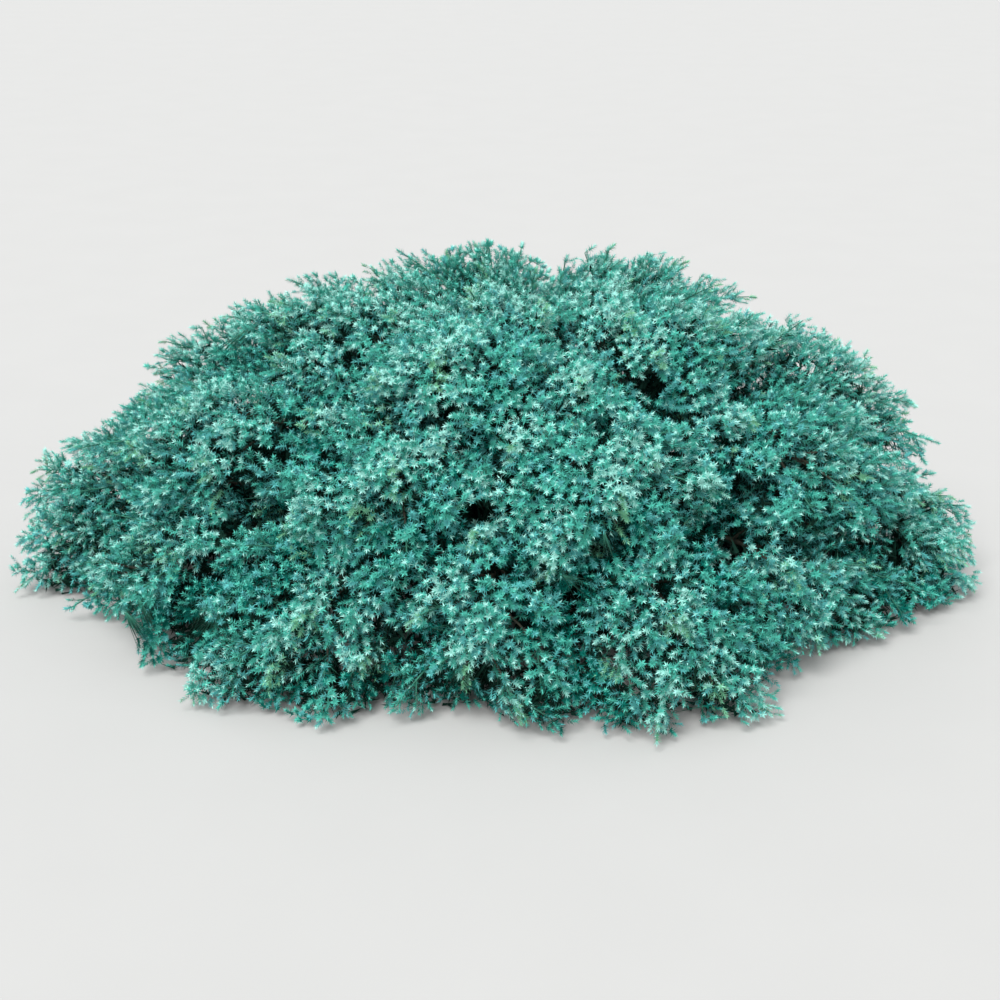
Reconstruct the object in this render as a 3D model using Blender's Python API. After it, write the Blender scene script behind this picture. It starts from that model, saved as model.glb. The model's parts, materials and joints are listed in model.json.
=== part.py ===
"""Blue star juniper: a low spreading shrub, rooted in the ground, in metres with +Z up.

The origin is the middle of the flat cut under the trunk. -Y is the front of the shrub and +X its
right. A short flared trunk carries one tapering bough for each plume of foliage. The plumes lie in
three tiers: a skirt near the ground, a flank above it and a crest on top. Each plume is one solid:
a stem that carries on from its bough, branchlets that grow from the stem by a seeded rule, and
toothed needle sprays that stand out of a small dense core.
"""

import math
import random

import bmesh
import bpy
from mathutils import Vector
from mathutils.geometry import intersect_point_line

# The crown is a low dome: how far it spreads from the trunk on each side, its height, the powers
# that shape its rim seen from above and its slope seen from the side, and how much wider than the
# crown the slope would be if it ran on down to the ground.
REACH_RIGHT = 0.565
REACH_LEFT = 0.65
REACH_FRONT = 0.46
REACH_BACK = 0.46
CROWN_HEIGHT = 0.425
RIM_POWER = 1.8
SLOPE_POWER = 2.35
SLOPE_ROOT = 0.62
SLOPE_WIDTH = 1.04

# The trunk: a short stem with a root flare that fades with height, and a slightly uneven round.
TRUNK_HEIGHT = 0.118
TRUNK_RADIUS = 0.031
TRUNK_TOP_RADIUS = 0.027
TRUNK_LEAN = 0.008
TRUNK_RINGS = 7
TRUNK_SIDES = 15
TRUNK_UNEVENNESS = 0.035
FLARE_RADIUS = 0.05
FLARE_FADE = 5.5
FLARE_LOBES = 5
FLARE_LOBE_SHARE = 0.16

# Meshes that touch keep this gap.
TOUCH_GAP = 0.0003

# How far a plume keeps from the middle between it and its neighbour, from a limb, and from the
# ground.
SPACE_MARGIN = 0.005
LIMB_MARGIN = 0.004
GROUND_MARGIN = 0.004

# Each tier: how many plumes, the azimuth of the first in degrees, where a plume's stem starts and
# ends as shares of the crown's reach and as heights, how high the stem arches, how far foliage
# stands out beside, above and below it, and the heights at which its boughs leave the trunk.
TIERS = {
    "skirt": dict(
        count=12, first=-97.0, start=0.37, start_height=0.110, end=0.965, end_height=0.045,
        arch=0.034, half_width=0.175, rise=0.150, drop=0.105,
        bough_heights=(0.036, 0.062), bough_radius=0.0085, stem_radius=0.0048,
    ),
    "flank": dict(
        count=9, first=-76.0, start=0.24, start_height=0.190, end=0.78, end_height=0.195,
        arch=0.042, half_width=0.175, rise=0.140, drop=0.105,
        bough_heights=(0.089,), bough_radius=0.0075, stem_radius=0.0044,
    ),
    "crest": dict(
        count=5, first=-112.0, start=0.035, start_height=0.262, end=0.48, end_height=0.315,
        arch=0.030, half_width=0.170, rise=0.110, drop=0.095,
        bough_heights=(TRUNK_HEIGHT,), bough_radius=0.0062, stem_radius=0.0040,
    ),
}

# How far plumes differ: the turn of their tips, their reach, their tips' height and their girth.
TURN_VARIATION = 0.07
REACH_VARIATION = (-0.07, 0.03)
TIP_VARIATION = (-0.012, 0.018)
GIRTH_VARIATION = (0.93, 1.08)

# A bough starts inside the trunk, at this share of its radius, or stands on its top in a ring.
BOUGH_ROOT_SHARE = 0.4
CREST_BOUGH_RING = 0.0165
CREST_BOUGH_ROOT = 0.004
CREST_BOUGH_RISE = 0.075
BOUGH_ARCH = 0.012
BOUGH_TIP = 0.012

# Branchlets: how many a plume has, the share of the stem that they grow on, how far each is turned
# round the stem from straight up, in degrees, and the angles at which the first and last leave it.
# A branchlet reaches the plume's edge a little ahead of its foot, bends forward, bulges and nods.
BRANCHLETS = 17
BRANCHED_STEM = (0.06, 0.84)
TURNS = (84, -84, 30, -30, 112, -112, 4, 58, -58)
TURN_CHANCE = 12
OPEN_NEAR = math.radians(66)
OPEN_FAR = math.radians(34)
AHEAD = 0.18
FARTHEST_AHEAD = 0.88
LENGTH_CHANCE = (0.9, 1.12)
FORWARD_BEND = 0.18
BULGE = 0.06
NOD = 0.12
SHORTEST_BRANCHLET = 0.06
TWIG_RADIUS = 0.003

# A needle spray: where its foot is on its branchlet, its width and thickness as shares of its
# length, how far the branchlet's twig runs into it, and how it gives way until it fits.
SPRAY_FOOT = 0.42
SPRAY_WIDTH = 0.85
SPRAY_THICKNESS = 0.17
SHORTEST_SPRAY = 0.03
TWIG_SINK = 0.25
SWEEP = 0.14
CUT_BACK = 0.97
LEADER_FOOT = 0.72

# The outline of a spray on one side of its middle line, from foot to tip: how far along and how far
# across each corner is, as shares of its length and half width. The first one is a tooth.
HALF_OUTLINE = ((0.60, 1.0), (0.64, 0.36))
SPRAY_MIDDLE = 0.46

# The dense core under the sprays: its share of the plume's girth, how deep it stays under the
# crown's dome, the share of the stem that it wraps, how blunt its ends and how lumpy its sides are.
CORE_SHARE = 0.80
CORE_DEPTH = 0.92
CORE_STEM = (0.07, 0.93)
CORE_BLUNTNESS = 1.6
CORE_LUMPS = (0.88, 1.1)
LEAST_CORE = 0.004
CORE_SEGMENTS = 9
CORE_RINGS = 7

# The stem inside a plume: how far along its rings are, and their radii as shares of its own.
STEM_RINGS = ((0.0, 1.0), (0.12, 0.92), (0.4, 0.75), (0.7, 0.5), (0.93, 0.22))
STEM_STRETCHES = 5
BOUGH_STRETCHES = 4

# Colour, roughness and metallic value.
BARK_FINISH = ((0.16, 0.085, 0.05, 1.0), 0.85, 0.0)
FOLIAGE_FINISHES = {
    "skirt": ((0.075, 0.215, 0.2, 1.0), 0.62, 0.0),
    "flank": ((0.095, 0.26, 0.235, 1.0), 0.62, 0.0),
    "crest": ((0.115, 0.3, 0.265, 1.0), 0.62, 0.0),
}
UP = Vector((0, 0, 1))


def reach_at(azimuth):
    """How far the crown spreads from the trunk in this direction."""
    across = REACH_RIGHT if math.cos(azimuth) > 0 else REACH_LEFT
    along = REACH_BACK if math.sin(azimuth) > 0 else REACH_FRONT
    rim = abs(math.cos(azimuth) / across) ** RIM_POWER + abs(math.sin(azimuth) / along) ** RIM_POWER
    return rim ** (-1 / RIM_POWER)


def in_crown(point, size=1.0):
    """Whether the point is inside the crown's dome, or a smaller dome of this size."""
    share = math.hypot(point.x, point.y) / reach_at(math.atan2(point.y, point.x)) / size
    if share >= 1:
        return False
    slope = 1 - (share / SLOPE_WIDTH) ** SLOPE_POWER
    return point.z < CROWN_HEIGHT * size * slope**SLOPE_ROOT


def crown_point(azimuth, share, height):
    """The point at this share of the crown's reach, and at this height."""
    distance = share * reach_at(azimuth)
    return Vector((distance * math.cos(azimuth), distance * math.sin(azimuth), height))


def even_azimuths(count, first_degrees):
    """Azimuths that divide the crown's rim into stretches of equal length."""
    steps = 720
    start = math.radians(first_degrees)
    turns = [start + 2 * math.pi * i / steps for i in range(steps + 1)]
    rim = [crown_point(turn, 1.0, 0.0) for turn in turns]
    walked = [0.0]
    for here, there in zip(rim, rim[1:]):
        walked.append(walked[-1] + (there - here).length)
    azimuths = []
    for i in range(count):
        wanted = walked[-1] * i / count
        nearest = min(range(steps), key=lambda n: abs(walked[n] - wanted))
        azimuths.append(turns[nearest])
    return azimuths


def bend(start, middle, end, t):
    """A point on the curve from start to end that is drawn towards middle."""
    return start * (1 - t) ** 2 + middle * 2 * t * (1 - t) + end * t**2


def stretches(points):
    return list(zip(points, points[1:]))


def plan_plumes():
    """One plan for each plume: its name, its stem and how far its foliage stands out."""
    plumes = []
    for tier, sizes in TIERS.items():
        for number, azimuth in enumerate(even_azimuths(sizes["count"], sizes["first"])):
            chance = random.Random(f"{tier} {number}")
            turned = azimuth + chance.uniform(-TURN_VARIATION, TURN_VARIATION)
            share = 1 + chance.uniform(*REACH_VARIATION)
            start = crown_point(azimuth, sizes["start"], sizes["start_height"])
            end = crown_point(turned, sizes["end"] * share, sizes["end_height"])
            end.z += chance.uniform(*TIP_VARIATION)
            plume = dict(
                name=f"plume_{tier}_{number + 1:02d}", tier=tier, number=number,
                azimuth=azimuth, start=start, end=end,
                middle=(start + end) / 2 + UP * 2 * sizes["arch"],
                half_width=sizes["half_width"] * chance.uniform(*GIRTH_VARIATION),
                rise=sizes["rise"] * chance.uniform(*GIRTH_VARIATION), drop=sizes["drop"],
            )
            plume["line"] = stretches(
                [stem_point(plume, i / STEM_STRETCHES) for i in range(STEM_STRETCHES + 1)]
            )
            plumes.append(plume)
    return plumes


def stem_point(plume, t):
    return bend(plume["start"], plume["middle"], plume["end"], t)


def stem_frame(plume, t):
    """The stem's direction at t, the direction to its side, and the one above it."""
    step = 0.01
    forward = stem_point(plume, min(t + step, 1)) - stem_point(plume, max(t - step, 0))
    forward.normalize()
    side = forward.cross(UP).normalized()
    return forward, side, side.cross(forward)


def girth(t):
    """How wide a plume is along its stem, from 0 to 1: fullest past its middle, then pointed."""
    return 1.68 * max(t, 0.0) ** 0.4 * max(1 - t, 0.0) ** 0.35


def extent(plume, turn, t):
    """How far foliage stands out of the stem at t, in a direction turned from straight up."""
    upright = plume["rise"] if math.cos(turn) > 0 else plume["drop"]
    return girth(t) / math.hypot(math.cos(turn) / upright, math.sin(turn) / plume["half_width"])


def grow_branchlets(plume, in_space):
    """The plume's branchlets by its seeded rule, each cut back until it ends in its space."""
    chance = random.Random(plume["name"])
    grown = []
    for i in range(BRANCHLETS):
        first, last = BRANCHED_STEM
        t = first + (last - first) * (i + chance.uniform(0.25, 0.75)) / BRANCHLETS
        turn = TURNS[i % len(TURNS)] + chance.uniform(-TURN_CHANCE, TURN_CHANCE)
        turn = math.radians(turn)
        opening = OPEN_NEAR + (OPEN_FAR - OPEN_NEAR) * t
        forward, side, above = stem_frame(plume, t)
        outward = above * math.cos(turn) + side * math.sin(turn)
        edge = extent(plume, turn, min(t + AHEAD, FARTHEST_AHEAD))
        length = edge / math.sin(opening) * chance.uniform(*LENGTH_CHANCE)
        start = stem_point(plume, t)
        heading = forward * math.cos(opening) + outward * math.sin(opening)
        reach = heading + forward * FORWARD_BEND - UP * NOD
        while length > SHORTEST_BRANCHLET and not in_space(start + reach * length):
            length *= CUT_BACK
        if length > SHORTEST_BRANCHLET:
            middle = start + (heading * 0.5 + outward * BULGE) * length
            grown.append(
                dict(
                    start=start, middle=middle, end=start + reach * length,
                    forward=forward, across=forward.cross(outward),
                )
            )
    return grown


def distance_to(point, lines):
    """The distance from a point to the nearest of these straight stretches."""
    nearest = math.inf
    for here, there in lines:
        foot, share = intersect_point_line(point, here, there)
        foot = here if share < 0 else there if share > 1 else foot
        nearest = min(nearest, (point - foot).length)
    return nearest


def in_own_space(point, plume, plumes, limbs, size=1.0):
    """Whether a point is in the crown, nearest to the plume's own stem, and clear of limbs."""
    if point.z < GROUND_MARGIN or not in_crown(point, size):
        return False
    own = distance_to(point, plume["line"])
    for other in plumes:
        if other is not plume and distance_to(point, other["line"]) < own + 2 * SPACE_MARGIN:
            return False
    return all(distance_to(point, line) > radius + LIMB_MARGIN for line, radius in limbs)


def make_material(name, finish):
    colour, roughness, metallic = finish
    material = bpy.data.materials.new(name)
    material.use_nodes = True
    shader = material.node_tree.nodes["Principled BSDF"]
    shader.inputs["Base Color"].default_value = colour
    shader.inputs["Roughness"].default_value = roughness
    shader.inputs["Metallic"].default_value = metallic
    return material


def clear_scene():
    for old in list(bpy.data.objects):
        bpy.data.objects.remove(old)


def new_collection(name):
    made = bpy.data.collections.new(name)
    bpy.context.scene.collection.children.link(made)
    return made


def mesh_object(name, mesh, collection, material=None):
    made = bpy.data.objects.new(name, mesh)
    if material:
        made.data.materials.append(material)
    collection.objects.link(made)
    return made


def limb_object(name, points, radii, sides, collection, material=None):
    """A tapering limb through these points: a curve with a round section, as a welded mesh."""
    curve = bpy.data.curves.new(name + "_curve", "CURVE")
    curve.dimensions = "3D"
    curve.bevel_depth = 1.0
    curve.bevel_resolution = (sides - 4) // 2
    curve.use_fill_caps = True
    curve.twist_mode = "MINIMUM"
    spline = curve.splines.new("POLY")
    spline.points.add(len(points) - 1)
    for knot, point, radius in zip(spline.points, points, radii):
        knot.co = (*point, 1)
        knot.radius = radius
    guide = bpy.data.objects.new(name + "_guide", curve)
    collection.objects.link(guide)
    bpy.context.view_layer.update()
    graph = bpy.context.evaluated_depsgraph_get()
    mesh = bpy.data.meshes.new_from_object(guide.evaluated_get(graph))
    mesh.name = name
    bpy.data.objects.remove(guide)
    shape = bmesh.new()
    shape.from_mesh(mesh)
    bmesh.ops.remove_doubles(shape, verts=shape.verts, dist=1e-6)
    bmesh.ops.recalc_face_normals(shape, faces=shape.faces)
    shape.to_mesh(mesh)
    shape.free()
    made = mesh_object(name, mesh, collection, material)
    mesh.shade_smooth()
    mesh.set_sharp_from_angle(angle=math.radians(50))
    return made


def spike_object(name, start, end, radius, collection):
    """A three-sided twig from start, pointed at end."""
    shape = bmesh.new()
    length = (end - start).length
    bmesh.ops.create_cone(
        shape, cap_ends=True, cap_tris=True, segments=3, radius1=radius, radius2=0, depth=length
    )
    turn = (end - start).to_track_quat("Z", "Y")
    for vertex in shape.verts:
        vertex.co = turn @ (vertex.co + Vector((0, 0, length / 2))) + start
    mesh = bpy.data.meshes.new(name)
    shape.to_mesh(mesh)
    shape.free()
    return mesh_object(name, mesh, collection)


def spray_points(foot, tip, across):
    """The corners of a toothed spray: its outline from the foot round, then below and above."""
    along = tip - foot
    length = along.length
    across = (across - along * across.dot(along) / length**2).normalized()
    above = along.cross(across).normalized()
    wing = across * length * SPRAY_WIDTH / 2
    left = [foot + along * u + wing * v for u, v in HALF_OUTLINE]
    right = [foot + along * u - wing * v for u, v in HALF_OUTLINE]
    thick = above * length * SPRAY_THICKNESS
    middle = foot + along * SPRAY_MIDDLE
    return [foot, *left, tip, *reversed(right)], middle - thick * 0.7, middle + thick


def spray_object(name, outline, below, above, collection):
    """A toothed spray: a flat double cone whose rim is drawn out to the outline."""
    shape = bmesh.new()
    bmesh.ops.create_uvsphere(shape, u_segments=len(outline), v_segments=2, radius=1)
    rim = sorted(
        (v for v in shape.verts if abs(v.co.z) < 0.5), key=lambda v: math.atan2(v.co.y, v.co.x)
    )
    poles = sorted((v for v in shape.verts if abs(v.co.z) > 0.5), key=lambda v: v.co.z)
    for vertex, place in zip(rim + poles, [*outline, below, above]):
        vertex.co = place
    bmesh.ops.recalc_face_normals(shape, faces=shape.faces)
    mesh = bpy.data.meshes.new(name)
    shape.to_mesh(mesh)
    shape.free()
    return mesh_object(name, mesh, collection)


def core_object(plume, in_space, collection, material):
    """The dense middle of a plume: a sphere drawn out along the stem, inside its own space."""
    shape = bmesh.new()
    bmesh.ops.create_uvsphere(shape, u_segments=CORE_SEGMENTS, v_segments=CORE_RINGS, radius=1)
    chance = random.Random(plume["name"] + " core")
    first, last = CORE_STEM
    for vertex in shape.verts:
        t = first + (last - first) * (1 - vertex.co.z) / 2
        turn = math.atan2(vertex.co.x, vertex.co.y)
        ring = math.hypot(vertex.co.x, vertex.co.y) * CORE_BLUNTNESS
        forward, side, above = stem_frame(plume, t)
        outward = above * math.cos(turn) + side * math.sin(turn)
        radius = extent(plume, turn, t) * CORE_SHARE * min(1.0, ring)
        radius *= chance.uniform(*CORE_LUMPS)
        centre = stem_point(plume, t)
        while radius > LEAST_CORE and not in_space(centre + outward * radius, CORE_DEPTH):
            radius *= CUT_BACK
        vertex.co = centre + outward * radius
    bmesh.ops.recalc_face_normals(shape, faces=shape.faces)
    mesh = bpy.data.meshes.new(plume["name"])
    shape.to_mesh(mesh)
    shape.free()
    return mesh_object(plume["name"], mesh, collection, material)


def add_spray(plume, foot, twig, in_space, scraps):
    """A needle spray, swept along the stem and cut back until it keeps to the plume's space."""
    tip = twig["end"]
    while (tip - foot).length > SHORTEST_SPRAY:
        outline, below, above = spray_points(foot, tip, twig["across"])
        if all(in_space(corner) for corner in (*outline[1:], below, above)):
            spray_object(f"{plume['name']}_spray", outline, below, above, scraps)
            return tip
        along = tip - foot
        tip = foot + along.lerp(twig["forward"] * along.length, SWEEP) * CUT_BACK
    return None


def grow_sprays(plume, in_space, scraps):
    """The plume's branchlets and its leader, each with a spray. Returns how many sprays fit."""
    count = 0
    for twig in grow_branchlets(plume, in_space):
        foot = bend(twig["start"], twig["middle"], twig["end"], SPRAY_FOOT)
        tip = add_spray(plume, foot, twig, in_space, scraps)
        if tip:
            inside = foot + (tip - foot) * TWIG_SINK
            spike_object(f"{plume['name']}_twig", twig["start"], inside, TWIG_RADIUS, scraps)
            count += 1
    forward, side, _ = stem_frame(plume, 0.95)
    leader = dict(end=plume["end"], forward=forward, across=side)
    if add_spray(plume, stem_point(plume, LEADER_FOOT), leader, in_space, scraps):
        count += 1
    return count


def join_scraps(body, scraps):
    """One union of the body with every solid in the collection, which is then emptied."""
    union = body.modifiers.new("join", "BOOLEAN")
    union.operation = "UNION"
    union.operand_type = "COLLECTION"
    union.collection = scraps
    union.solver = "EXACT"
    union.use_self = True
    bpy.context.view_layer.update()
    graph = bpy.context.evaluated_depsgraph_get()
    joined = bpy.data.meshes.new_from_object(body.evaluated_get(graph))
    body.modifiers.clear()
    body.data = joined
    for scrap in list(scraps.objects):
        bpy.data.objects.remove(scrap)
    keep_largest(joined)


def keep_largest(mesh):
    """Drops loose scraps: only the connected piece with the most faces stays."""
    shape = bmesh.new()
    shape.from_mesh(mesh)
    bmesh.ops.remove_doubles(shape, verts=shape.verts, dist=2e-6)
    bmesh.ops.triangulate(shape, faces=shape.faces)
    left = set(shape.faces)
    pieces = []
    while left:
        front = [left.pop()]
        piece = list(front)
        while front:
            face = front.pop()
            near = {f for edge in face.edges for f in edge.link_faces} & left
            left -= near
            front.extend(near)
            piece.extend(near)
        pieces.append(piece)
    pieces.sort(key=len)
    loose = [face for piece in pieces[:-1] for face in piece]
    bmesh.ops.delete(shape, geom=loose, context="FACES")
    shape.to_mesh(mesh)
    shape.free()


def plan_bough(plume):
    """The points and radii of the bough that carries a plume, from the trunk to its stem."""
    sizes = TIERS[plume["tier"]]
    height = sizes["bough_heights"][plume["number"] % len(sizes["bough_heights"])]
    outward = Vector((math.cos(plume["azimuth"]), math.sin(plume["azimuth"]), 0))
    if plume["tier"] == "crest":
        start = outward * CREST_BOUGH_RING + UP * (height - CREST_BOUGH_ROOT)
        middle = start + UP * CREST_BOUGH_RISE
    else:
        start = outward * TRUNK_RADIUS * BOUGH_ROOT_SHARE + UP * height
        halfway = (plume["start"] - start).dot(outward) / 2
        middle = start + outward * halfway + UP * BOUGH_ARCH
    start.x += TRUNK_LEAN * height / TRUNK_HEIGHT
    forward = stem_frame(plume, 0.0)[0]
    end = plume["start"] - forward * TOUCH_GAP
    last = end - forward * BOUGH_TIP
    shares = [i / BOUGH_STRETCHES for i in range(BOUGH_STRETCHES + 1)]
    thick, thin = sizes["bough_radius"], sizes["stem_radius"]
    points = [bend(start, middle, last, share) for share in shares] + [end]
    radii = [thick + (thin - thick) * share for share in shares] + [thin]
    return points, radii


def trunk_mesh(name, grown=0.0):
    """The trunk's closed mesh, grown outwards by this much: a stack of rings with a root flare."""
    shape = bmesh.new()
    bmesh.ops.create_cone(
        shape, cap_ends=True, cap_tris=False, segments=TRUNK_SIDES, radius1=1, radius2=1, depth=1
    )
    uprights = [e for e in shape.edges if abs(e.verts[0].co.z - e.verts[1].co.z) > 0.5]
    bmesh.ops.subdivide_edges(shape, edges=uprights, cuts=TRUNK_RINGS - 1)
    for vertex in shape.verts:
        share = vertex.co.z + 0.5
        turn = math.atan2(vertex.co.y, vertex.co.x)
        flare = math.exp(-share * FLARE_FADE)
        radius = TRUNK_RADIUS + (TRUNK_TOP_RADIUS - TRUNK_RADIUS) * share
        radius += (FLARE_RADIUS - TRUNK_RADIUS) * flare
        radius *= 1 + FLARE_LOBE_SHARE * flare * math.cos(FLARE_LOBES * turn)
        radius *= 1 + TRUNK_UNEVENNESS * math.sin(3 * turn + 4 * share)
        vertex.co.x = (radius + grown) * math.cos(turn) + TRUNK_LEAN * share
        vertex.co.y = (radius + grown) * math.sin(turn)
        vertex.co.z = (TRUNK_HEIGHT + 2 * grown) * share - grown
    bmesh.ops.triangulate(shape, faces=shape.faces)
    bmesh.ops.recalc_face_normals(shape, faces=shape.faces)
    mesh = bpy.data.meshes.new(name)
    shape.to_mesh(mesh)
    shape.free()
    return mesh


def build_wood(plumes, shrub, cutters, bark):
    """The trunk, and a bough to each plume, cut clear of the trunk. Returns each limb's line."""
    trunk = mesh_object("trunk", trunk_mesh("trunk"), shrub, bark)
    trunk.data.shade_smooth()
    trunk.data.set_sharp_from_angle(angle=math.radians(50))
    cutter = mesh_object("trunk_room", trunk_mesh("trunk_room", TOUCH_GAP), cutters)
    cutter.hide_render = True
    cutter.display_type = "WIRE"
    limbs = [([(Vector((0, 0, 0)), Vector((TRUNK_LEAN, 0, TRUNK_HEIGHT)))], TRUNK_RADIUS)]
    for plume in plumes:
        points, radii = plan_bough(plume)
        name = plume["name"].replace("plume", "bough")
        bough = limb_object(name, points, radii, 6, shrub, bark)
        cut = bough.modifiers.new("clear of the trunk", "BOOLEAN")
        cut.operation = "DIFFERENCE"
        cut.solver = "EXACT"
        cut.object = cutter
        limbs.append((stretches(points[:-2]), radii[0]))
    return limbs


def build_plume(plume, plumes, limbs, shrub, scraps, material):
    """One plume: its core, stem, branchlets and sprays, joined into one solid."""

    def in_space(point, size=1.0):
        return in_own_space(point, plume, plumes, limbs, size)

    body = core_object(plume, in_space, shrub, material)
    points = [stem_point(plume, t) for t, _ in STEM_RINGS]
    radii = [TIERS[plume["tier"]]["stem_radius"] * share for _, share in STEM_RINGS]
    limb_object(plume["name"] + "_stem", points, radii, 4, scraps)
    sprays = grow_sprays(plume, in_space, scraps)
    join_scraps(body, scraps)
    return sprays


def main():
    clear_scene()
    shrub = new_collection("blue_star_juniper")
    cutters = new_collection("cutters")
    scraps = new_collection("scraps")
    bark = make_material("juniper_bark", BARK_FINISH)
    foliage = {
        tier: make_material(f"{tier}_needles", finish)
        for tier, finish in FOLIAGE_FINISHES.items()
    }
    plumes = plan_plumes()
    limbs = build_wood(plumes, shrub, cutters, bark)
    total = 0
    for plume in plumes:
        total += build_plume(plume, plumes, limbs, shrub, scraps, foliage[plume["tier"]])
    bpy.data.collections.remove(scraps)
    print(f"{total} sprays on {len(plumes)} plumes")


main()
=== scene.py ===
"""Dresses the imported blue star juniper: bark on its limbs, twigs and needles grown on from them by
the same seeded rule that shaped its solids, and a plain stage with the photograph's view.

Everything is in metres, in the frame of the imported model: the origin is the flat cut under the
trunk, -Y is the front and +Z is up. Points are rows of arrays, so a whole crown grows at once.
"""
import json
import math
import random
from functools import lru_cache
from types import SimpleNamespace

import bpy
import numpy as np
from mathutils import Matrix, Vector, noise
from mathutils.kdtree import KDTree

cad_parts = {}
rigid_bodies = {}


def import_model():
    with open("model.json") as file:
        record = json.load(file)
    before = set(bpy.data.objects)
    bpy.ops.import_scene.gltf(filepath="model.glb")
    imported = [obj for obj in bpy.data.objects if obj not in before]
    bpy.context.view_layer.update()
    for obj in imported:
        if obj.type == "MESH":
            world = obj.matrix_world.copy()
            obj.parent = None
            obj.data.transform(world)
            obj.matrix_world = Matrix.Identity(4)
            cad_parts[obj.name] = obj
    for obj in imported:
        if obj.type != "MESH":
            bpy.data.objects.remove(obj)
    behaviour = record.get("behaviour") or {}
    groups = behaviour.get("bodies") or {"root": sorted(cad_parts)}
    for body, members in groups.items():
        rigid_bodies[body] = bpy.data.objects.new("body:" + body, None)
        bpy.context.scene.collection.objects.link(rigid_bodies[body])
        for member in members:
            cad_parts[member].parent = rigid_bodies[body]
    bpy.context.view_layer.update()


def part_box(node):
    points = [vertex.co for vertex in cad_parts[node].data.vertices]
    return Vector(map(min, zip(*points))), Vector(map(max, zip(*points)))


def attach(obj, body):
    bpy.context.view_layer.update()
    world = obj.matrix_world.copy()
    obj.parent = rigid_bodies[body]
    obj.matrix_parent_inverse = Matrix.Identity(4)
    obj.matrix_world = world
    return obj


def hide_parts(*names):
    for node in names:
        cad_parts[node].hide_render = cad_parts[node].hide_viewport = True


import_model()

bl_info = {
    "name": "Blue star juniper",
    "version": (1, 0, 0),
    "blender": (4, 5, 0),
    "location": "View3D > Sidebar > Juniper",
    "description": "Grows bark, twigs and needles on the packed limbs of a low juniper",
    "category": "Object",
}

BODY = "root"

# The crown's dome, the trunk and the three tiers of plumes, as the solids have them.
REACH_RIGHT = 0.565
REACH_LEFT = 0.65
REACH_FRONT = 0.46
REACH_BACK = 0.46
CROWN_HEIGHT = 0.425
RIM_POWER = 1.8
SLOPE_POWER = 2.35
SLOPE_ROOT = 0.62
SLOPE_WIDTH = 1.04

TRUNK_HEIGHT = 0.118
TRUNK_RADIUS = 0.031
TRUNK_TOP_RADIUS = 0.027
TRUNK_LEAN = 0.008
FLARE_RADIUS = 0.05
FLARE_FADE = 5.5
FLARE_LOBES = 5
FLARE_LOBE_SHARE = 0.16
TOUCH_GAP = 0.0003

TIERS = {
    "skirt": dict(
        count=12, first=-97.0, start=0.37, start_height=0.110, end=0.965, end_height=0.045,
        arch=0.034, half_width=0.175, rise=0.150, drop=0.105,
        bough_heights=(0.036, 0.062), bough_radius=0.0085, stem_radius=0.0048,
    ),
    "flank": dict(
        count=9, first=-76.0, start=0.24, start_height=0.190, end=0.78, end_height=0.195,
        arch=0.042, half_width=0.175, rise=0.140, drop=0.105,
        bough_heights=(0.089,), bough_radius=0.0075, stem_radius=0.0044,
    ),
    "crest": dict(
        count=5, first=-112.0, start=0.035, start_height=0.262, end=0.48, end_height=0.315,
        arch=0.030, half_width=0.170, rise=0.110, drop=0.095,
        bough_heights=(TRUNK_HEIGHT,), bough_radius=0.0062, stem_radius=0.0040,
    ),
}
TURN_VARIATION = 0.07
REACH_VARIATION = (-0.07, 0.03)
TIP_VARIATION = (-0.012, 0.018)
GIRTH_VARIATION = (0.93, 1.08)
BOUGH_ROOT_SHARE = 0.4
CREST_BOUGH_RING = 0.0165
CREST_BOUGH_ROOT = 0.004
CREST_BOUGH_RISE = 0.075
BOUGH_ARCH = 0.012
RIM_STEPS = 720
GIRTH_FULL = 1.68
GIRTH_FOOT = 0.4
GIRTH_TIP = 0.35
POINTS_AT_ONCE = 20000

# The rule for branchlets, as the solids have it.
BRANCHLETS = 17
BRANCHED_STEM = (0.06, 0.84)
BRANCHLET_PLACE = (0.25, 0.75)
TURNS = (84, -84, 30, -30, 112, -112, 4, 58, -58)
TURN_CHANCE = 12
OPEN_NEAR = math.radians(66)
OPEN_FAR = math.radians(34)
AHEAD = 0.18
FARTHEST_AHEAD = 0.88
LENGTH_CHANCE = (0.9, 1.12)
FORWARD_BEND = 0.18
BULGE = 0.06
NOD = 0.12
SHORTEST_BRANCHLET = 0.06
CUT_BACK = 0.97
MOST_CUTS = 60
LEADER_FOOT = 0.60
STEM_STRETCHES = 5
SPACE_MARGIN = 0.005
BRANCHLET_VIGOUR = (0.3, 1.0)
LEADER_VIGOUR = 1.3
CUT_SHARES = np.linspace(0.4, 1, 13)

# The finer growth that only the scene has: side branchlets, laterals on both kinds of branchlet,
# and shoots. Turns are measured round the twig from the crown's outward side, in degrees.
SIDE_BRANCHLETS = dict(
    count=7, span=(0.14, 0.88), turns=(80, -80, 26, -26, 122, -122, 4), wander=14,
    opening=(62, 36), lift=0.16, share=0.52, fade=0.5, least=0.012, shortest=0.022,
)
LATERALS = dict(
    count=12, span=(0.12, 0.97), turns=(70, -70, 20, -20, 112, -112), wander=24,
    opening=(60, 36), lift=0.26, share=0.26, fade=0.6, least=0.012, shortest=0.010,
)
SIDE_LATERALS = dict(
    count=8, span=(0.14, 0.95), turns=(62, -62, 14, -14, 108, -108), wander=24,
    opening=(58, 38), lift=0.26, share=0.34, fade=0.6, least=0.010, shortest=0.009,
)
LENGTH_SPREAD = (0.8, 1.15)
PLACE_SPREAD = (0.2, 0.8)
TWIG_CUT = 0.92
OVERLAP_ROOM = 0.003
GROUND_MARGIN = 0.004
SHOOT_LENGTH = 0.0092
SHOOT_SPREAD = (0.8, 1.2)
SHOOT_PITCH = 0.0090
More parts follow.
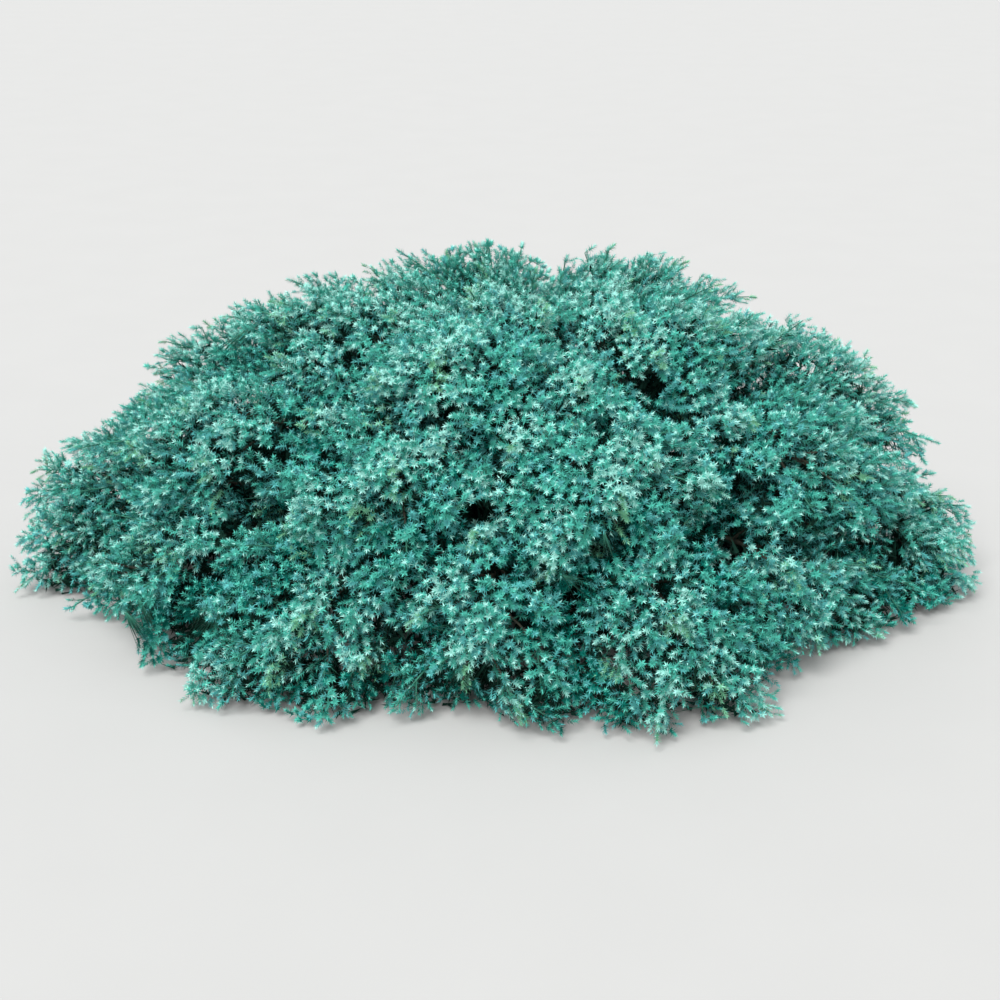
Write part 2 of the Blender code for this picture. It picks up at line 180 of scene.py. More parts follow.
PITCH_SPREAD = 0.002
SHOOT_ROLL = (-0.2, 0.9)
FIRST_SHOOT = 0.003
SIDE_YOUTH = 0.7
TIP_STRETCH = 1.2
SHOOT_PAIRS = 4
SHOOT_OPEN = math.radians(50)
SHOOT_LIFT = 0.5
SHOOT_RISE = 0.35
TIP_LIFT = 0.45
LEADER_SHOOTS = 12
LEADER_LENGTH = 0.0100
LEADER_PROUD = 0.002
LEADER_OUT = 0.1
LEADER_FADE = 0.1
LEADER_TURNS = 5
LEADER_LOWEST = 0.1
SHOOT_GROUND = 0.008
LOW_SHOOT = 0.03
LOW_LIFT = 0.6
FLOW = 0.7
SHOOT_ROOM = 0.0070
SHOOT_SPACING = 0.0077
SPENT_PITCH = 0.011
SPENT_DEPTH = 0.075
SPENT_LOW = 0.07
SPENT_LOW_DEPTH = 0.07
SPENT_UNDER = 0.03
SPENT_NEEDLES = 6
SPENT_LENGTH = 2.4
SPENT_WIDTH = 1.9
SPENT_LEAN = (0.4, 1.5)
SPENT_SLIDE = (-0.01, 0.012)
INNER_SCALE = 1.25

# The crown's skin, as shares of its dome: twigs grow into its gaps. It stands out as an arrowhead
# behind each branchlet's tip, and dips where two plumes meet and towards the foot of each plume.
SKIN_GAPS = dict(
    tries=1500000, spacing=0.0095, room=0.0084, under=0.0, depth=0.055, core=0.70, top=0.425,
    reach=0.08, ahead=-0.05,
)
FOOT_GAPS = dict(
    tries=300000, spacing=0.012, room=0.010, under=0.06, depth=0.2, core=0.60, top=0.030,
    reach=0.08, ahead=-0.05,
)
INNER_GAPS = dict(
    tries=200000, spacing=0.024, room=0.022, under=0.13, depth=1.0, core=0.05, top=0.380,
    reach=0.15, ahead=-1.0,
)
GAP_NODES = 60
GAP_SHARES = np.linspace(0.2, 1, 7)
GAP_SLACK = 0.2
LEAST_GAP = 0.01
GAP_VIGOUR = 0.8
FULL_SIZE = 1.02
GROOVE_WIDTH = 0.045
GROOVE_DEPTH = 0.095
FOOT_DIP = 0.06
SPRAY_INSIDE = 0.86
SPRAY_TURN = 0.6
SPRAY_NOSE = 0.012
SPRAY_SPACING = 0.078
SPRAY_SIZES = ((0.085, 0.028, 0.55), (0.150, 0.052, 1.0))
SPRAY_TAPER = 1.1
SPRAY_DEPTH = 0.115
YOUNG_STREAK = (0.034, 0.0065)
LOW = 0.09
LOW_DEPTH = 0.3

# The largest hollows in the crown's skin, between sprays. Those in front are where the photograph
# shows them: the pixel across and down at the middle of each, how far it reaches to the side and
# upward, in degrees, and the share of the dome that it goes in. The camera turns each pixel into a
# direction from the origin. A rule deals the rest out over the back.
HOLLOW_PIXELS = (
    (608, 545, 3.2, 2.2, 0.20), (768, 531, 5.0, 6.0, 0.30), (835, 545, 6.5, 3.6, 0.26),
    (751, 618, 3.2, 2.4, 0.20), (512, 573, 3.2, 2.2, 0.20), (437, 623, 2.6, 3.0, 0.20),
    (516, 628, 2.8, 2.0, 0.20), (622, 656, 3.2, 2.0, 0.20), (486, 688, 3.4, 3.0, 0.22),
    (470, 509, 3.6, 2.2, 0.18), (693, 708, 3.0, 2.6, 0.20), (771, 685, 3.4, 3.4, 0.22),
    (553, 404, 4.5, 2.2, 0.18), (680, 460, 4.5, 2.4, 0.22), (818, 450, 5.0, 2.6, 0.24),
    (212, 495, 4.2, 2.6, 0.24), (375, 412, 4.5, 2.2, 0.20), (380, 513, 3.6, 2.2, 0.20),
    (380, 640, 3.6, 2.4, 0.22), (120, 560, 4.0, 2.6, 0.24), (250, 400, 5.0, 2.2, 0.20),
    (255, 591, 4.0, 2.8, 0.24), (320, 455, 4.0, 2.4, 0.20), (162, 628, 4.0, 3.0, 0.22),
    (310, 668, 3.2, 2.6, 0.20), (890, 542, 4.5, 3.0, 0.24), (775, 486, 4.5, 2.2, 0.20),
)
HOLLOW_DOME = 0.95
SIGHT_SPAN = (1.0, 3.0)
SIGHT_STEP = 0.002
MORE_HOLLOWS = dict(
    count=26, azimuths=(14, 166), elevations=(6, 48), across=(3, 6), upright=(2, 3.6),
    share=(0.16, 0.22),
)

# Where the foot of the crown recedes: azimuth, share of the dome, half width, in degrees.
FOOT_BAYS = (
    (-160, 0.12, 17), (-101, 0.13, 18), (-35, 0.17, 20), (18, 0.10, 16), (62, 0.12, 18),
    (112, 0.10, 17), (154, 0.12, 16),
)
BAY_TOP = 0.16
BAY_FADE = 0.11

# Light reaches a shoot past the others; those in deep shade have dropped their needles.
FULL_SHOOTS = 14000
LIVE_SHOOTS = 40000
LIGHT_CELL = 0.01
LIGHT_STEPS = 16
SHOOT_SHADE = 0.9
LIGHT_ELEVATIONS = (4, 30, 58)
LIGHT_AZIMUTHS = 8
LIGHT_MARGIN = 0.03
LIGHT_START = 0.2
BEST_SIDES = 5

# A needle's place on its shoot, its lean, which falls off towards the tip, and its size. The spreads
# of turns and leans are in radians.
WHORL_FOOT = 0.35
TURN_SPREAD = 0.2
LEAN_FOOT = math.radians(82)
LEAN_FALL = math.radians(44)
LEAN_POWER = 1.3
LEAN_SPREAD = 0.16
TIP_SHRINK = 0.32
FOOT_SHRINK = 0.15
SIZE_SPREAD = (0.85, 1.12)
YOUNG_LEAN = 0.1
YOUNG_SIZE = 0.05
FEWER_WHORLS = 3

# A needle's tone: painted light and shade from how much sky lights its shoot and from how far its
# arrowhead stands out, paler on the ridges and darker in the valleys; then its place on the shoot and
# chance add to it; and where the deep and the pale colours begin. Greener sprays are dealt more often
# where the sky lights them and bluer ones in shade, a painted tint of the light on top of chance.
LEAFY_BASE = 0.2
GREEN_IN_PAINTED_LIGHT = 0.6
PAINTED_SKY_LIGHT = 0.20
PAINTED_RIDGE_LIGHT = 0.36
BLOOM_BASE = 0.04
BLOOM_SPREAD = (-0.10, 0.16)
TONE_PLACE = 0.34
TONE_LUCK = 0.18
DEEP_BELOW = 0.45
PALE_ABOVE = 0.82
YOUNG_FROM = 0.15
YOUNG_SPREAD = 0.7

# Rings and sides of the limbs, and the radii of the twigs at foot and tip.
TRUNK_RINGS = 34
TRUNK_SIDES = 72
BOUGH_RINGS = 20
BOUGH_SIDES = 18
STEM_RINGS = 9
STEM_SIDES = 8
STEM_TAPER = 0.8
SHARP_ANGLE = math.radians(60)
BRANCHLET_TUBE = dict(rings=6, sides=5, thick=0.0020, thin=0.0006)
SIDE_TUBE = dict(rings=3, sides=3, thick=0.0012, thin=0.0004)
GREEN_STRETCH = 3
SPIKE_RADIUS = 0.0007
TWIG_NUDGE = np.array((1e-3, 2e-3, 0))
NEEDLE_NUDGE = 1e-3

# The bark's furrows: the side where a limb's rings start, where the noise starts on the trunk and how
# far it moves on from bough to bough, how it twists and stretches along a limb, and what it is like.
BARK_SIDE = np.array((0.31, 0.95, 0.05))
TRUNK_NOISE = 3.0
BOUGH_NOISE = 10.0
BARK_TWIST = 6
BARK_ROUND = 2.6
BARK_ALONG = 14
BARK_NOISE = (0.7, 2.2, 3)
RIDGE_GAIN = 1.6
CAP_SHADE = 0.3

# The materials: each needle colour's roughness and gloss, the grain of each kind, and how dark and
# how light its colour goes.
NEEDLE_FINISHES = dict(
    deep=(0.62, 0.1), blue=(0.55, 0.2), green=(0.55, 0.2), pale=(0.60, 0.4), young=(0.50, 0.2),
    spent=(0.80, 0.1),
)
NEEDLE_DRIFT = (55.0, 0.6)
NEEDLE_GRAIN = (420.0, 0.4)
NEEDLE_SHADES = (0.72, 1.28)
TRUNK_GRAIN = 130.0
BOUGH_GRAIN = 190.0
RIDGE_SHARE = 0.75
GRAIN_SHARE = 0.5
MASK_DROP = 0.12
BARK_BUMP = (0.5, 0.002)
TWIG_GRAIN = 180.0
TWIG_SHADES = (0.6, 1.5)
TWIG_BUMP = (0.3, 0.001)
FLOOR_GRAIN = 7.0
FLOOR_SHADES = (0.98, 1.02)

# The seeds of the random draws.
SEEDS = dict(
    side_branchlets=1, laterals=2, side_laterals=3, skin=4, foot=5, inner=6, hollows=8, vigour=10,
    shoots=12, needles=13, dead_needles=14, dead_shoots=15, tints=21,
)

# The stage.
FLOOR_HALF = 60.0
SUN_ANGLE = math.radians(38)
SUN_DIRECTION = (0.30, 0.72, -1.0)
SKY_COLOUR = (0.93, 0.97, 1.0, 1.0)

# The camera: it looks from in front and above, along the photograph's line of sight.
CAMERA_TARGET = (-0.034, 0.0, 0.106)
CAMERA_ELEVATION = math.radians(21.5)
CAMERA_DISTANCE = 2.1
CAMERA_LENS = 59.8
SENSOR_WIDTH = 36.0
PHOTO_SIZE = 1000
UP = np.array((0.0, 0.0, 1.0))


# Sizes and colours that a user would change.


def colour_property(name, description, default):
    return bpy.props.FloatVectorProperty(
        name=name, description=description, subtype="COLOR", default=default
    )


class JuniperNeedles(bpy.types.PropertyGroup):
    """Sizes and colours of the needles"""

    length: bpy.props.FloatProperty(
        name="Length", description="A full needle's length", default=0.0067, unit="LENGTH"
    )
    width: bpy.props.FloatProperty(
        name="Width", description="A full needle's width", default=0.0023, unit="LENGTH"
    )
    whorls: bpy.props.IntProperty(
        name="Whorls", description="Rings of three needles on a shoot", default=8, min=3, max=12
    )
    # Deep is also painted shade: it goes to needles whose shoot gets little sky or sits in a valley
    # between arrowheads.
    deep: colour_property("Deep", "Old needles near the foot of a shoot", (0.004, 0.170, 0.135))
    # Blue goes more often to shaded shoots and green to sky-lit ones: a painted tint of the light, on
    # top of chance.
    blue: colour_property("Blue", "Grown needles of the bluer sprays", (0.085, 0.375, 0.360))
    green: colour_property("Green", "Grown needles of the greener sprays", (0.070, 0.405, 0.325))
    # Pale is also painted light: it goes to needles whose shoot gets much sky or sits on an
    # arrowhead's ridge.
    pale: colour_property(
        "Pale", "Needles with the most bloom, near a shoot's tip", (0.275, 0.590, 0.525)
    )
    young: colour_property("Young", "New needles on the leading tips", (0.160, 0.430, 0.265))
    # Near-black, not brown: painted shade for the hollows, worn by dead needles that the crown does
    # have.
    spent: colour_property("Spent", "Dead needles inside the crown", (0.004, 0.024, 0.016))


class JuniperBark(bpy.types.PropertyGroup):
    """Sizes and colours of the bark"""

    relief: bpy.props.FloatProperty(
        name="Relief", description="How deep the furrows are, as a share of a limb's radius",
        default=0.13, min=0.0, max=0.3, subtype="FACTOR",
    )
    ridge: colour_property("Ridge", "Weathered strips of bark", (0.120, 0.078, 0.054))
    # The furrow colour is the redder bark between the strips, and also darker as painted shade in the
    # furrows.
    furrow_and_shade: colour_property("Furrow", "Reddish bark between the strips", (0.045, 0.023, 0.015))
    twig: colour_property("Twig", "Thin bark of the twigs", (0.026, 0.026, 0.016))
    shoot: colour_property(
        "Green twig", "Skin of this year's thinnest twigs", (0.016, 0.130, 0.085)
    )


class JuniperStage(bpy.types.PropertyGroup):
    """The floor and the light"""

    floor: colour_property("Floor", "Colour of the plain floor", (0.386, 0.381, 0.372))
    key: bpy.props.FloatProperty(
        name="Key", description="Strength of the soft light from above", default=5.3, min=0.0
    )
    sky: bpy.props.FloatProperty(
        name="Sky", description="Strength of the even light from all round", default=0.78, min=0.0
    )


# The crown's rule. Every point argument is an array whose last axis is x, y, z.


def unit(vectors):
    return vectors / np.maximum(np.linalg.norm(vectors, axis=-1, keepdims=True), 1e-12)


def dot(a, b):
    return (a * b).sum(-1, keepdims=True)


def square_to(vectors, axes):
    """The part of each vector that is square to its axis, as a unit vector."""
    return unit(vectors - axes * dot(vectors, axes))


def reach_at(azimuth):
    """How far the crown spreads from the trunk in this direction."""
    across = np.where(np.cos(azimuth) > 0, REACH_RIGHT, REACH_LEFT)
    along = np.where(np.sin(azimuth) > 0, REACH_BACK, REACH_FRONT)
    rim = np.abs(np.cos(azimuth) / across) ** RIM_POWER + np.abs(np.sin(azimuth) / along) ** RIM_POWER
    return rim ** (-1 / RIM_POWER)


def azimuth_of(points):
    return np.arctan2(points[..., 1], points[..., 0])


def turned_from(azimuths, degrees):
    """How far each azimuth is turned from this one, from -pi to pi."""
    return (azimuths - math.radians(degrees) + math.pi) % (2 * math.pi) - math.pi


def in_crown(points, size=1.0):
    """Whether each point is inside the crown's dome, or a smaller dome of this size."""
    azimuths = azimuth_of(points)
    size = np.maximum(size, 0.01)
    share = np.hypot(points[..., 0], points[..., 1]) / reach_at(azimuths) / size
    slope = np.clip(1 - (share / SLOPE_WIDTH) ** SLOPE_POWER, 0, 1)
    return (share < 1) & (points[..., 2] < CROWN_HEIGHT * size * slope**SLOPE_ROOT)


def seen_direction(across, down):
    """The azimuth and elevation, in whole degrees, of what the photograph shows at a pixel."""
    focal = PHOTO_SIZE * CAMERA_LENS / SENSOR_WIDTH
    level, steep = math.cos(CAMERA_ELEVATION), math.sin(CAMERA_ELEVATION)
    right, drop = (across - PHOTO_SIZE / 2) / focal, (down - PHOTO_SIZE / 2) / focal
    sight = unit(np.array((right, level - drop * steep, -steep - drop * level)))
    camera = np.array(CAMERA_TARGET) + CAMERA_DISTANCE * np.array((0, -level, steep))
    points = camera + np.arange(*SIGHT_SPAN, SIGHT_STEP)[:, None] * sight
    x, y, z = points[np.argmax(in_crown(points, HOLLOW_DOME))]
    return round(math.degrees(math.atan2(y, x))), round(math.degrees(math.atan2(z, math.hypot(x, y))))


@lru_cache(maxsize=1)
def all_hollows():
    """The hollows in front, then those that a rule deals out over the rest of the crown."""
    front = [(*seen_direction(across, down), *sizes) for across, down, *sizes in HOLLOW_PIXELS]
    chance = np.random.default_rng(SEEDS["hollows"])
    rule = MORE_HOLLOWS
    count = rule["count"]
    first, last = rule["azimuths"]
    azimuths = first + (last - first) * (np.arange(count) + chance.random(count)) / count
    spans = (rule["elevations"], rule["across"], rule["upright"], rule["share"])
    dealt = [chance.uniform(*span, count) for span in spans]
    return np.concatenate((np.array(front), np.stack((azimuths, *dealt), axis=-1)))


def hollow_at(points):
    """How far the skin goes in at each point, as a share of the dome."""
    azimuths = azimuth_of(points)
    elevations = np.arctan2(points[:, 2], np.hypot(points[:, 0], points[:, 1]))
    deep = np.zeros(len(points))
    for azimuth, elevation, across, upright, share in all_hollows():
        aside = turned_from(azimuths, azimuth) / math.radians(across)
        above = (elevations - math.radians(elevation)) / math.radians(upright)
        deep = np.maximum(deep, share * np.sqrt(np.clip(1 - aside**2 - above**2, 0, 1)))
    return deep


def foot_bays(points):
    """How far the crown's foot recedes at each point, as a share of the dome."""
    azimuths = azimuth_of(points)
    deep = np.zeros(len(points))
    for centre, share, half_width in FOOT_BAYS:
        turned = turned_from(azimuths, centre)
        deep += share * np.clip(1 - (turned / math.radians(half_width)) ** 2, 0, 1) ** 2
    return deep * np.clip((BAY_TOP - points[:, 2]) / BAY_FADE, 0, 1)


def outward_at(points):
    """The crown's outward direction at each point."""
    across = np.where(points[..., 0] > 0, REACH_RIGHT, REACH_LEFT)
    heights = np.full(len(points), CROWN_HEIGHT)
    depths = np.full(len(points), REACH_FRONT)
    return unit(points / np.stack((across, depths, heights), axis=-1) ** 2)


def crown_point(azimuth, share, height):
    distance = share * float(reach_at(azimuth))
    return np.array((distance * math.cos(azimuth), distance * math.sin(azimuth), height))


def even_azimuths(count, first_degrees):
    """Azimuths that divide the crown's rim into stretches of equal length."""
    start = math.radians(first_degrees)
    turns = [start + 2 * math.pi * i / RIM_STEPS for i in range(RIM_STEPS + 1)]
    rim = [crown_point(turn, 1.0, 0.0) for turn in turns]
    walked = [0.0]
    for here, there in zip(rim, rim[1:]):
        walked.append(walked[-1] + float(np.linalg.norm(there - here)))
    azimuths = []
    for i in range(count):
        wanted = walked[-1] * i / count
        nearest = min(range(RIM_STEPS), key=lambda n: abs(walked[n] - wanted))
        azimuths.append(turns[nearest])
    return azimuths


def bend(start, middle, end, t):
    """A point on the curve from start to end that is drawn towards middle."""
    return start * (1 - t) ** 2 + middle * 2 * t * (1 - t) + end * t**2


def stem_point(plume, t):
    return bend(plume["start"], plume["middle"], plume["end"], t)


def stem_frame(plume, t):
    """The stem's direction at t, the direction to its side, and the one above it."""
    step = 0.01
    forward = unit(stem_point(plume, min(t + step, 1)) - stem_point(plume, max(t - step, 0)))
    side = unit(np.cross(forward, UP))
    return forward, side, np.cross(side, forward)


def plan_plumes():
    """One plan for each plume: its name, its stem and how far its foliage stands out."""
    plumes = []
    for tier, sizes in TIERS.items():
        for number, azimuth in enumerate(even_azimuths(sizes["count"], sizes["first"])):
            chance = random.Random(f"{tier} {number}")
            turned = azimuth + chance.uniform(-TURN_VARIATION, TURN_VARIATION)
            share = 1 + chance.uniform(*REACH_VARIATION)
            start = crown_point(azimuth, sizes["start"], sizes["start_height"])
            end = crown_point(turned, sizes["end"] * share, sizes["end_height"])
            end[2] += chance.uniform(*TIP_VARIATION)
            plumes.append(
                dict(
                    name=f"plume_{tier}_{number + 1:02d}", tier=tier, number=number,
                    azimuth=azimuth, start=start, end=end,
                    middle=(start + end) / 2 + UP * 2 * sizes["arch"],
                    half_width=sizes["half_width"] * chance.uniform(*GIRTH_VARIATION),
                    rise=sizes["rise"] * chance.uniform(*GIRTH_VARIATION), drop=sizes["drop"],
                )
            )
    return plumes


def girth(t):
    """How wide a plume is along its stem, from 0 to 1: fullest past its middle, then pointed."""
    return GIRTH_FULL * max(t, 0.0) ** GIRTH_FOOT * max(1 - t, 0.0) ** GIRTH_TIP


def extent(plume, turn, t):
    """How far foliage stands out of the stem at t, in a direction turned from straight up."""
    upright = plume["rise"] if math.cos(turn) > 0 else plume["drop"]
    return girth(t) / math.hypot(math.cos(turn) / upright, math.sin(turn) / plume["half_width"])


def plan_bough(plume):
    """The points and radii of the bough that carries a plume, from the trunk to its stem."""
    sizes = TIERS[plume["tier"]]
    height = sizes["bough_heights"][plume["number"] % len(sizes["bough_heights"])]
    outward = np.array((math.cos(plume["azimuth"]), math.sin(plume["azimuth"]), 0))
    if plume["tier"] == "crest":
        start = outward * CREST_BOUGH_RING + UP * (height - CREST_BOUGH_ROOT)
        middle = start + UP * CREST_BOUGH_RISE
    else:
        start = outward * TRUNK_RADIUS * BOUGH_ROOT_SHARE + UP * height
        halfway = float(dot(plume["start"] - start, outward)) / 2
        middle = start + outward * halfway + UP * BOUGH_ARCH
    start[0] += TRUNK_LEAN * height / TRUNK_HEIGHT
    forward = stem_frame(plume, 0.0)[0]
    end = plume["start"] - forward * TOUCH_GAP
    return start, middle, end, sizes["bough_radius"], sizes["stem_radius"]


def tree_of(points):
    tree = KDTree(len(points))
    for i, point in enumerate(points):
        tree.insert(point, i)
    tree.balance()
    return tree


class Crown:
    """The plumes with the space of each: the points nearest to its own stem."""

    def __init__(self):
        self.plumes = plan_plumes()
        shares = np.linspace(0, 1, STEM_STRETCHES + 1)
        stems = [[stem_point(plume, t) for t in shares] for plume in self.plumes]
        stems = np.array(stems)
        self.sprays = []
        self.starts = stems[:, :-1].reshape(-1, 3)
        self.runs = (stems[:, 1:] - stems[:, :-1]).reshape(-1, 3)

    def beside(self, points, owners=None):
        """For each point its nearest plume, or the given owner, how much nearer it is to that
        one's stem than to any other's, and how far along that stem."""
        found = []
        for piece in np.array_split(np.arange(len(points)), len(points) // POINTS_AT_ONCE + 1):
            offsets = points[piece][:, None] - self.starts
            shares = np.clip(dot(offsets, self.runs) / dot(self.runs, self.runs), 0, 1)
            shape = (len(piece), len(self.plumes), STEM_STRETCHES)
            gaps = np.linalg.norm(offsets - shares * self.runs, axis=-1).reshape(shape)
            away = gaps.min(-1)
            own = away.argmin(-1) if owners is None else owners[piece]
            rows = np.arange(len(piece))
            stretch = gaps[rows, own].argmin(-1)
            place = (stretch + shares.reshape(shape)[rows, own, stretch]) / STEM_STRETCHES
            near = away[rows, own].copy()
            away[rows, own] = np.inf
            found.append((own, away.min(-1) - near, place))
        return tuple(np.concatenate(part) for part in zip(*found))

    def in_own_space(self, points, owners, margin=SPACE_MARGIN):
        """Whether each point is in the crown and nearest to the stem of the plume that owns it."""
        clear = self.beside(points, owners)[1] >= 2 * margin
        return clear & (points[:, 2] > GROUND_MARGIN) & in_crown(points)

    def raise_sprays(self, curves):
        """Makes the skin stand out as an arrowhead behind the tip of each outer curve."""
        outer = chosen(curves, ~in_crown(curves["end"], SPRAY_INSIDE))
        outward = outward_at(outer["end"])
        rim = unit(outer["end"] * (1, 1, 0))
        axis = square_to(curve_heading(outer, 1.0) + rim * SPRAY_TURN, outward)
        side = np.cross(outward, axis)
        noses = outer["end"] + axis * SPRAY_NOSE
        near = tree_of(noses)
        large = np.ones(len(noses), bool)
        for i in np.argsort(-outer["vigour"], kind="stable"):
            if large[i]:
                large[[j for _, j, _ in near.find_range(noses[i], SPRAY_SPACING)]] = False
                large[i] = True
                self.sprays.append((noses[i], axis[i], side[i], SPRAY_SIZES[1], outer["vigour"][i]))
            else:
                self.sprays.append((noses[i], axis[i], side[i], SPRAY_SIZES[0], 0.0))

    def spray_height(self, points):
        """How far each point's arrowhead stands out, from 0 to 1, how near its young tip is, and
        which way it flows."""
        height = np.zeros(len(points))
        lead = np.zeros(len(points))
        flow = np.zeros(points.shape)
        for nose, axis, side, (length, half_width, stands), vigour in self.sprays:
            offset = nose - points
            near = np.flatnonzero((offset**2).sum(-1) < length**2)
            behind, aside = offset[near] @ axis, offset[near] @ side
            half = np.clip(behind * SPRAY_TAPER, 1e-4, half_width)
            ridge = np.clip(1 - (aside / half) ** 2, 0, 1) * (1 - (behind / length) ** 2)
            ridge = ridge * (behind > 0) * stands
            higher = ridge > height[near]
            height[near[higher]] = ridge[higher]
            flow[near[higher]] = axis * (1 - behind[higher, None] / length) * stands
            young = np.hypot((behind - SPRAY_NOSE) / YOUNG_STREAK[0], aside / YOUNG_STREAK[1])
            lead[near] = np.maximum(lead[near], np.clip(1 - young, 0, 1) * vigour)
        return height, lead, flow

    def skin_at(self, points, owners=None):
        """The owner of each point, and the size of dome that the skin is at there."""
        own, room, place = self.beside(points, owners)
        groove = GROOVE_DEPTH * np.clip(1 - room / (2 * GROOVE_WIDTH), 0, 1) ** 2
        dips = FOOT_DIP * (1 - place) ** 2
        if self.sprays:
            dips += SPRAY_DEPTH * (1 - self.spray_height(points)[0])
        low = LOW_DEPTH + (1 - LOW_DEPTH) * np.clip(points[:, 2] / LOW, 0, 1)
        return own, FULL_SIZE - groove - dips * low - foot_bays(points) - hollow_at(points)

    def cut_under_skin(self, curves):
        """Cuts each curve back to where it ends under the skin."""
        share = np.full((len(curves["owner"]), 1), CUT_SHARES[0])
        for t in CUT_SHARES:
            points = curve_point(curves, t)
            share[in_crown(points, self.skin_at(points, curves["owner"])[1])] = t
        end = curve_point(curves, share)
        curves["middle"] = curves["start"] + (curves["middle"] - curves["start"]) * share
        curves["end"] = end


def grow_branchlets(crown):
    """Every plume's branchlets by its seeded rule, and its leader, as arrays of curves."""
    rows = []
    for index, plume in enumerate(crown.plumes):
        chance = random.Random(plume["name"])
        for i in range(BRANCHLETS):
            first, last = BRANCHED_STEM
            t = first + (last - first) * (i + chance.uniform(*BRANCHLET_PLACE)) / BRANCHLETS
            turn = TURNS[i % len(TURNS)] + chance.uniform(-TURN_CHANCE, TURN_CHANCE)
            turn = math.radians(turn)
            opening = OPEN_NEAR + (OPEN_FAR - OPEN_NEAR) * t
            forward, side, above = stem_frame(plume, t)
            outward = above * math.cos(turn) + side * math.sin(turn)
            edge = extent(plume, turn, min(t + AHEAD, FARTHEST_AHEAD))
            length = edge / math.sin(opening) * chance.uniform(*LENGTH_CHANCE)
            start = stem_point(plume, t)
            heading = forward * math.cos(opening) + outward * math.sin(opening)
            reach = heading + forward * FORWARD_BEND - UP * NOD
            lengths = length * CUT_BACK ** np.arange(MOST_CUTS)
            ends = start + reach * lengths[:, None]
            fits = crown.in_own_space(ends, np.full(len(lengths), index))
            if not fits.any() or lengths[fits.argmax()] < SHORTEST_BRANCHLET:
                continue
            length = lengths[fits.argmax()]
            middle = start + (heading * 0.5 + outward * BULGE) * length
            rows.append((index, start, middle, start + reach * length, t))
        foot = stem_point(plume, LEADER_FOOT)
        rows.append((index, foot, stem_point(plume, (1 + LEADER_FOOT) / 2), plume["end"], 1.0))
    owners, starts, middles, ends, places = zip(*rows)
    return dict(
        owner=np.array(owners), start=np.array(starts), middle=np.array(middles),
        end=np.array(ends), place=np.array(places),
    )


def stems_of(crown):
    """The plumes' stems as curves too, so that twigs grow from them into gaps."""
    stems = {name: np.array([p[name] for p in crown.plumes]) for name in ("start", "middle", "end")}
    return dict(stems, owner=np.arange(len(crown.plumes)), vigour=np.ones(len(crown.plumes)))


def curve_point(curves, t):
    return bend(curves["start"], curves["middle"], curves["end"], t)


def chord(curves):
    return np.linalg.norm(curves["end"] - curves["start"], axis=-1)


def curve_heading(curves, t):
    return unit(
        (curves["middle"] - curves["start"]) * (1 - t) + (curves["end"] - curves["middle"]) * t
    )


def side_growth(crown, curves, rule, seed):
    """Twigs from the sides of every curve by one rule, each cut back to its plume's space."""
    chance = np.random.default_rng(seed)
    count = len(curves["owner"])
    length = chord(curves)[:, None]
    near, far = np.radians(rule["opening"])
    grown = []
    for i in range(rule["count"]):
        first, last = rule["span"]
        t = first + (last - first) * (i + chance.uniform(*PLACE_SPREAD, (count, 1))) / rule["count"]
        foot = curve_point(curves, t)
        axis = curve_heading(curves, t)
        outward = outward_at(foot)
        above = square_to(outward, axis)
        turn = rule["turns"][i % len(rule["turns"])]
        turn = np.radians(turn + chance.uniform(-1, 1, (count, 1)) * rule["wander"])
        around = above * np.cos(turn) + np.cross(axis, above) * np.sin(turn)
        opening = near + (far - near) * t
        heading = axis * np.cos(opening) + around * np.sin(opening)
        heading = unit(heading + outward * rule["lift"])
        reach = length * rule["share"] * (1 - t) ** rule["fade"] + rule["least"]
        reach = reach * chance.uniform(*LENGTH_SPREAD, (count, 1))
        grown.append((curves["owner"], foot, heading, reach[:, 0], t[:, 0], np.arange(count)))
    owner, foot, heading, reach, t, parent = (np.concatenate(part) for part in zip(*grown))
    long = np.ones(len(owner), bool)
    while long.any():
        rows = np.flatnonzero(long)
        tips = foot[rows] + heading[rows] * reach[rows, None]
        fits = crown.in_own_space(tips, owner[rows], -OVERLAP_ROOM)
        reach[rows[~fits]] *= TWIG_CUT
        long[rows] = ~fits & (reach[rows] > rule["shortest"])
    twigs = dict(
        owner=owner, start=foot, heading=heading, length=reach, place=t, parent=parent,
        middle=foot + heading * reach[:, None] / 2, end=foot + heading * reach[:, None],
    )
    return chosen(twigs, reach > rule["shortest"])


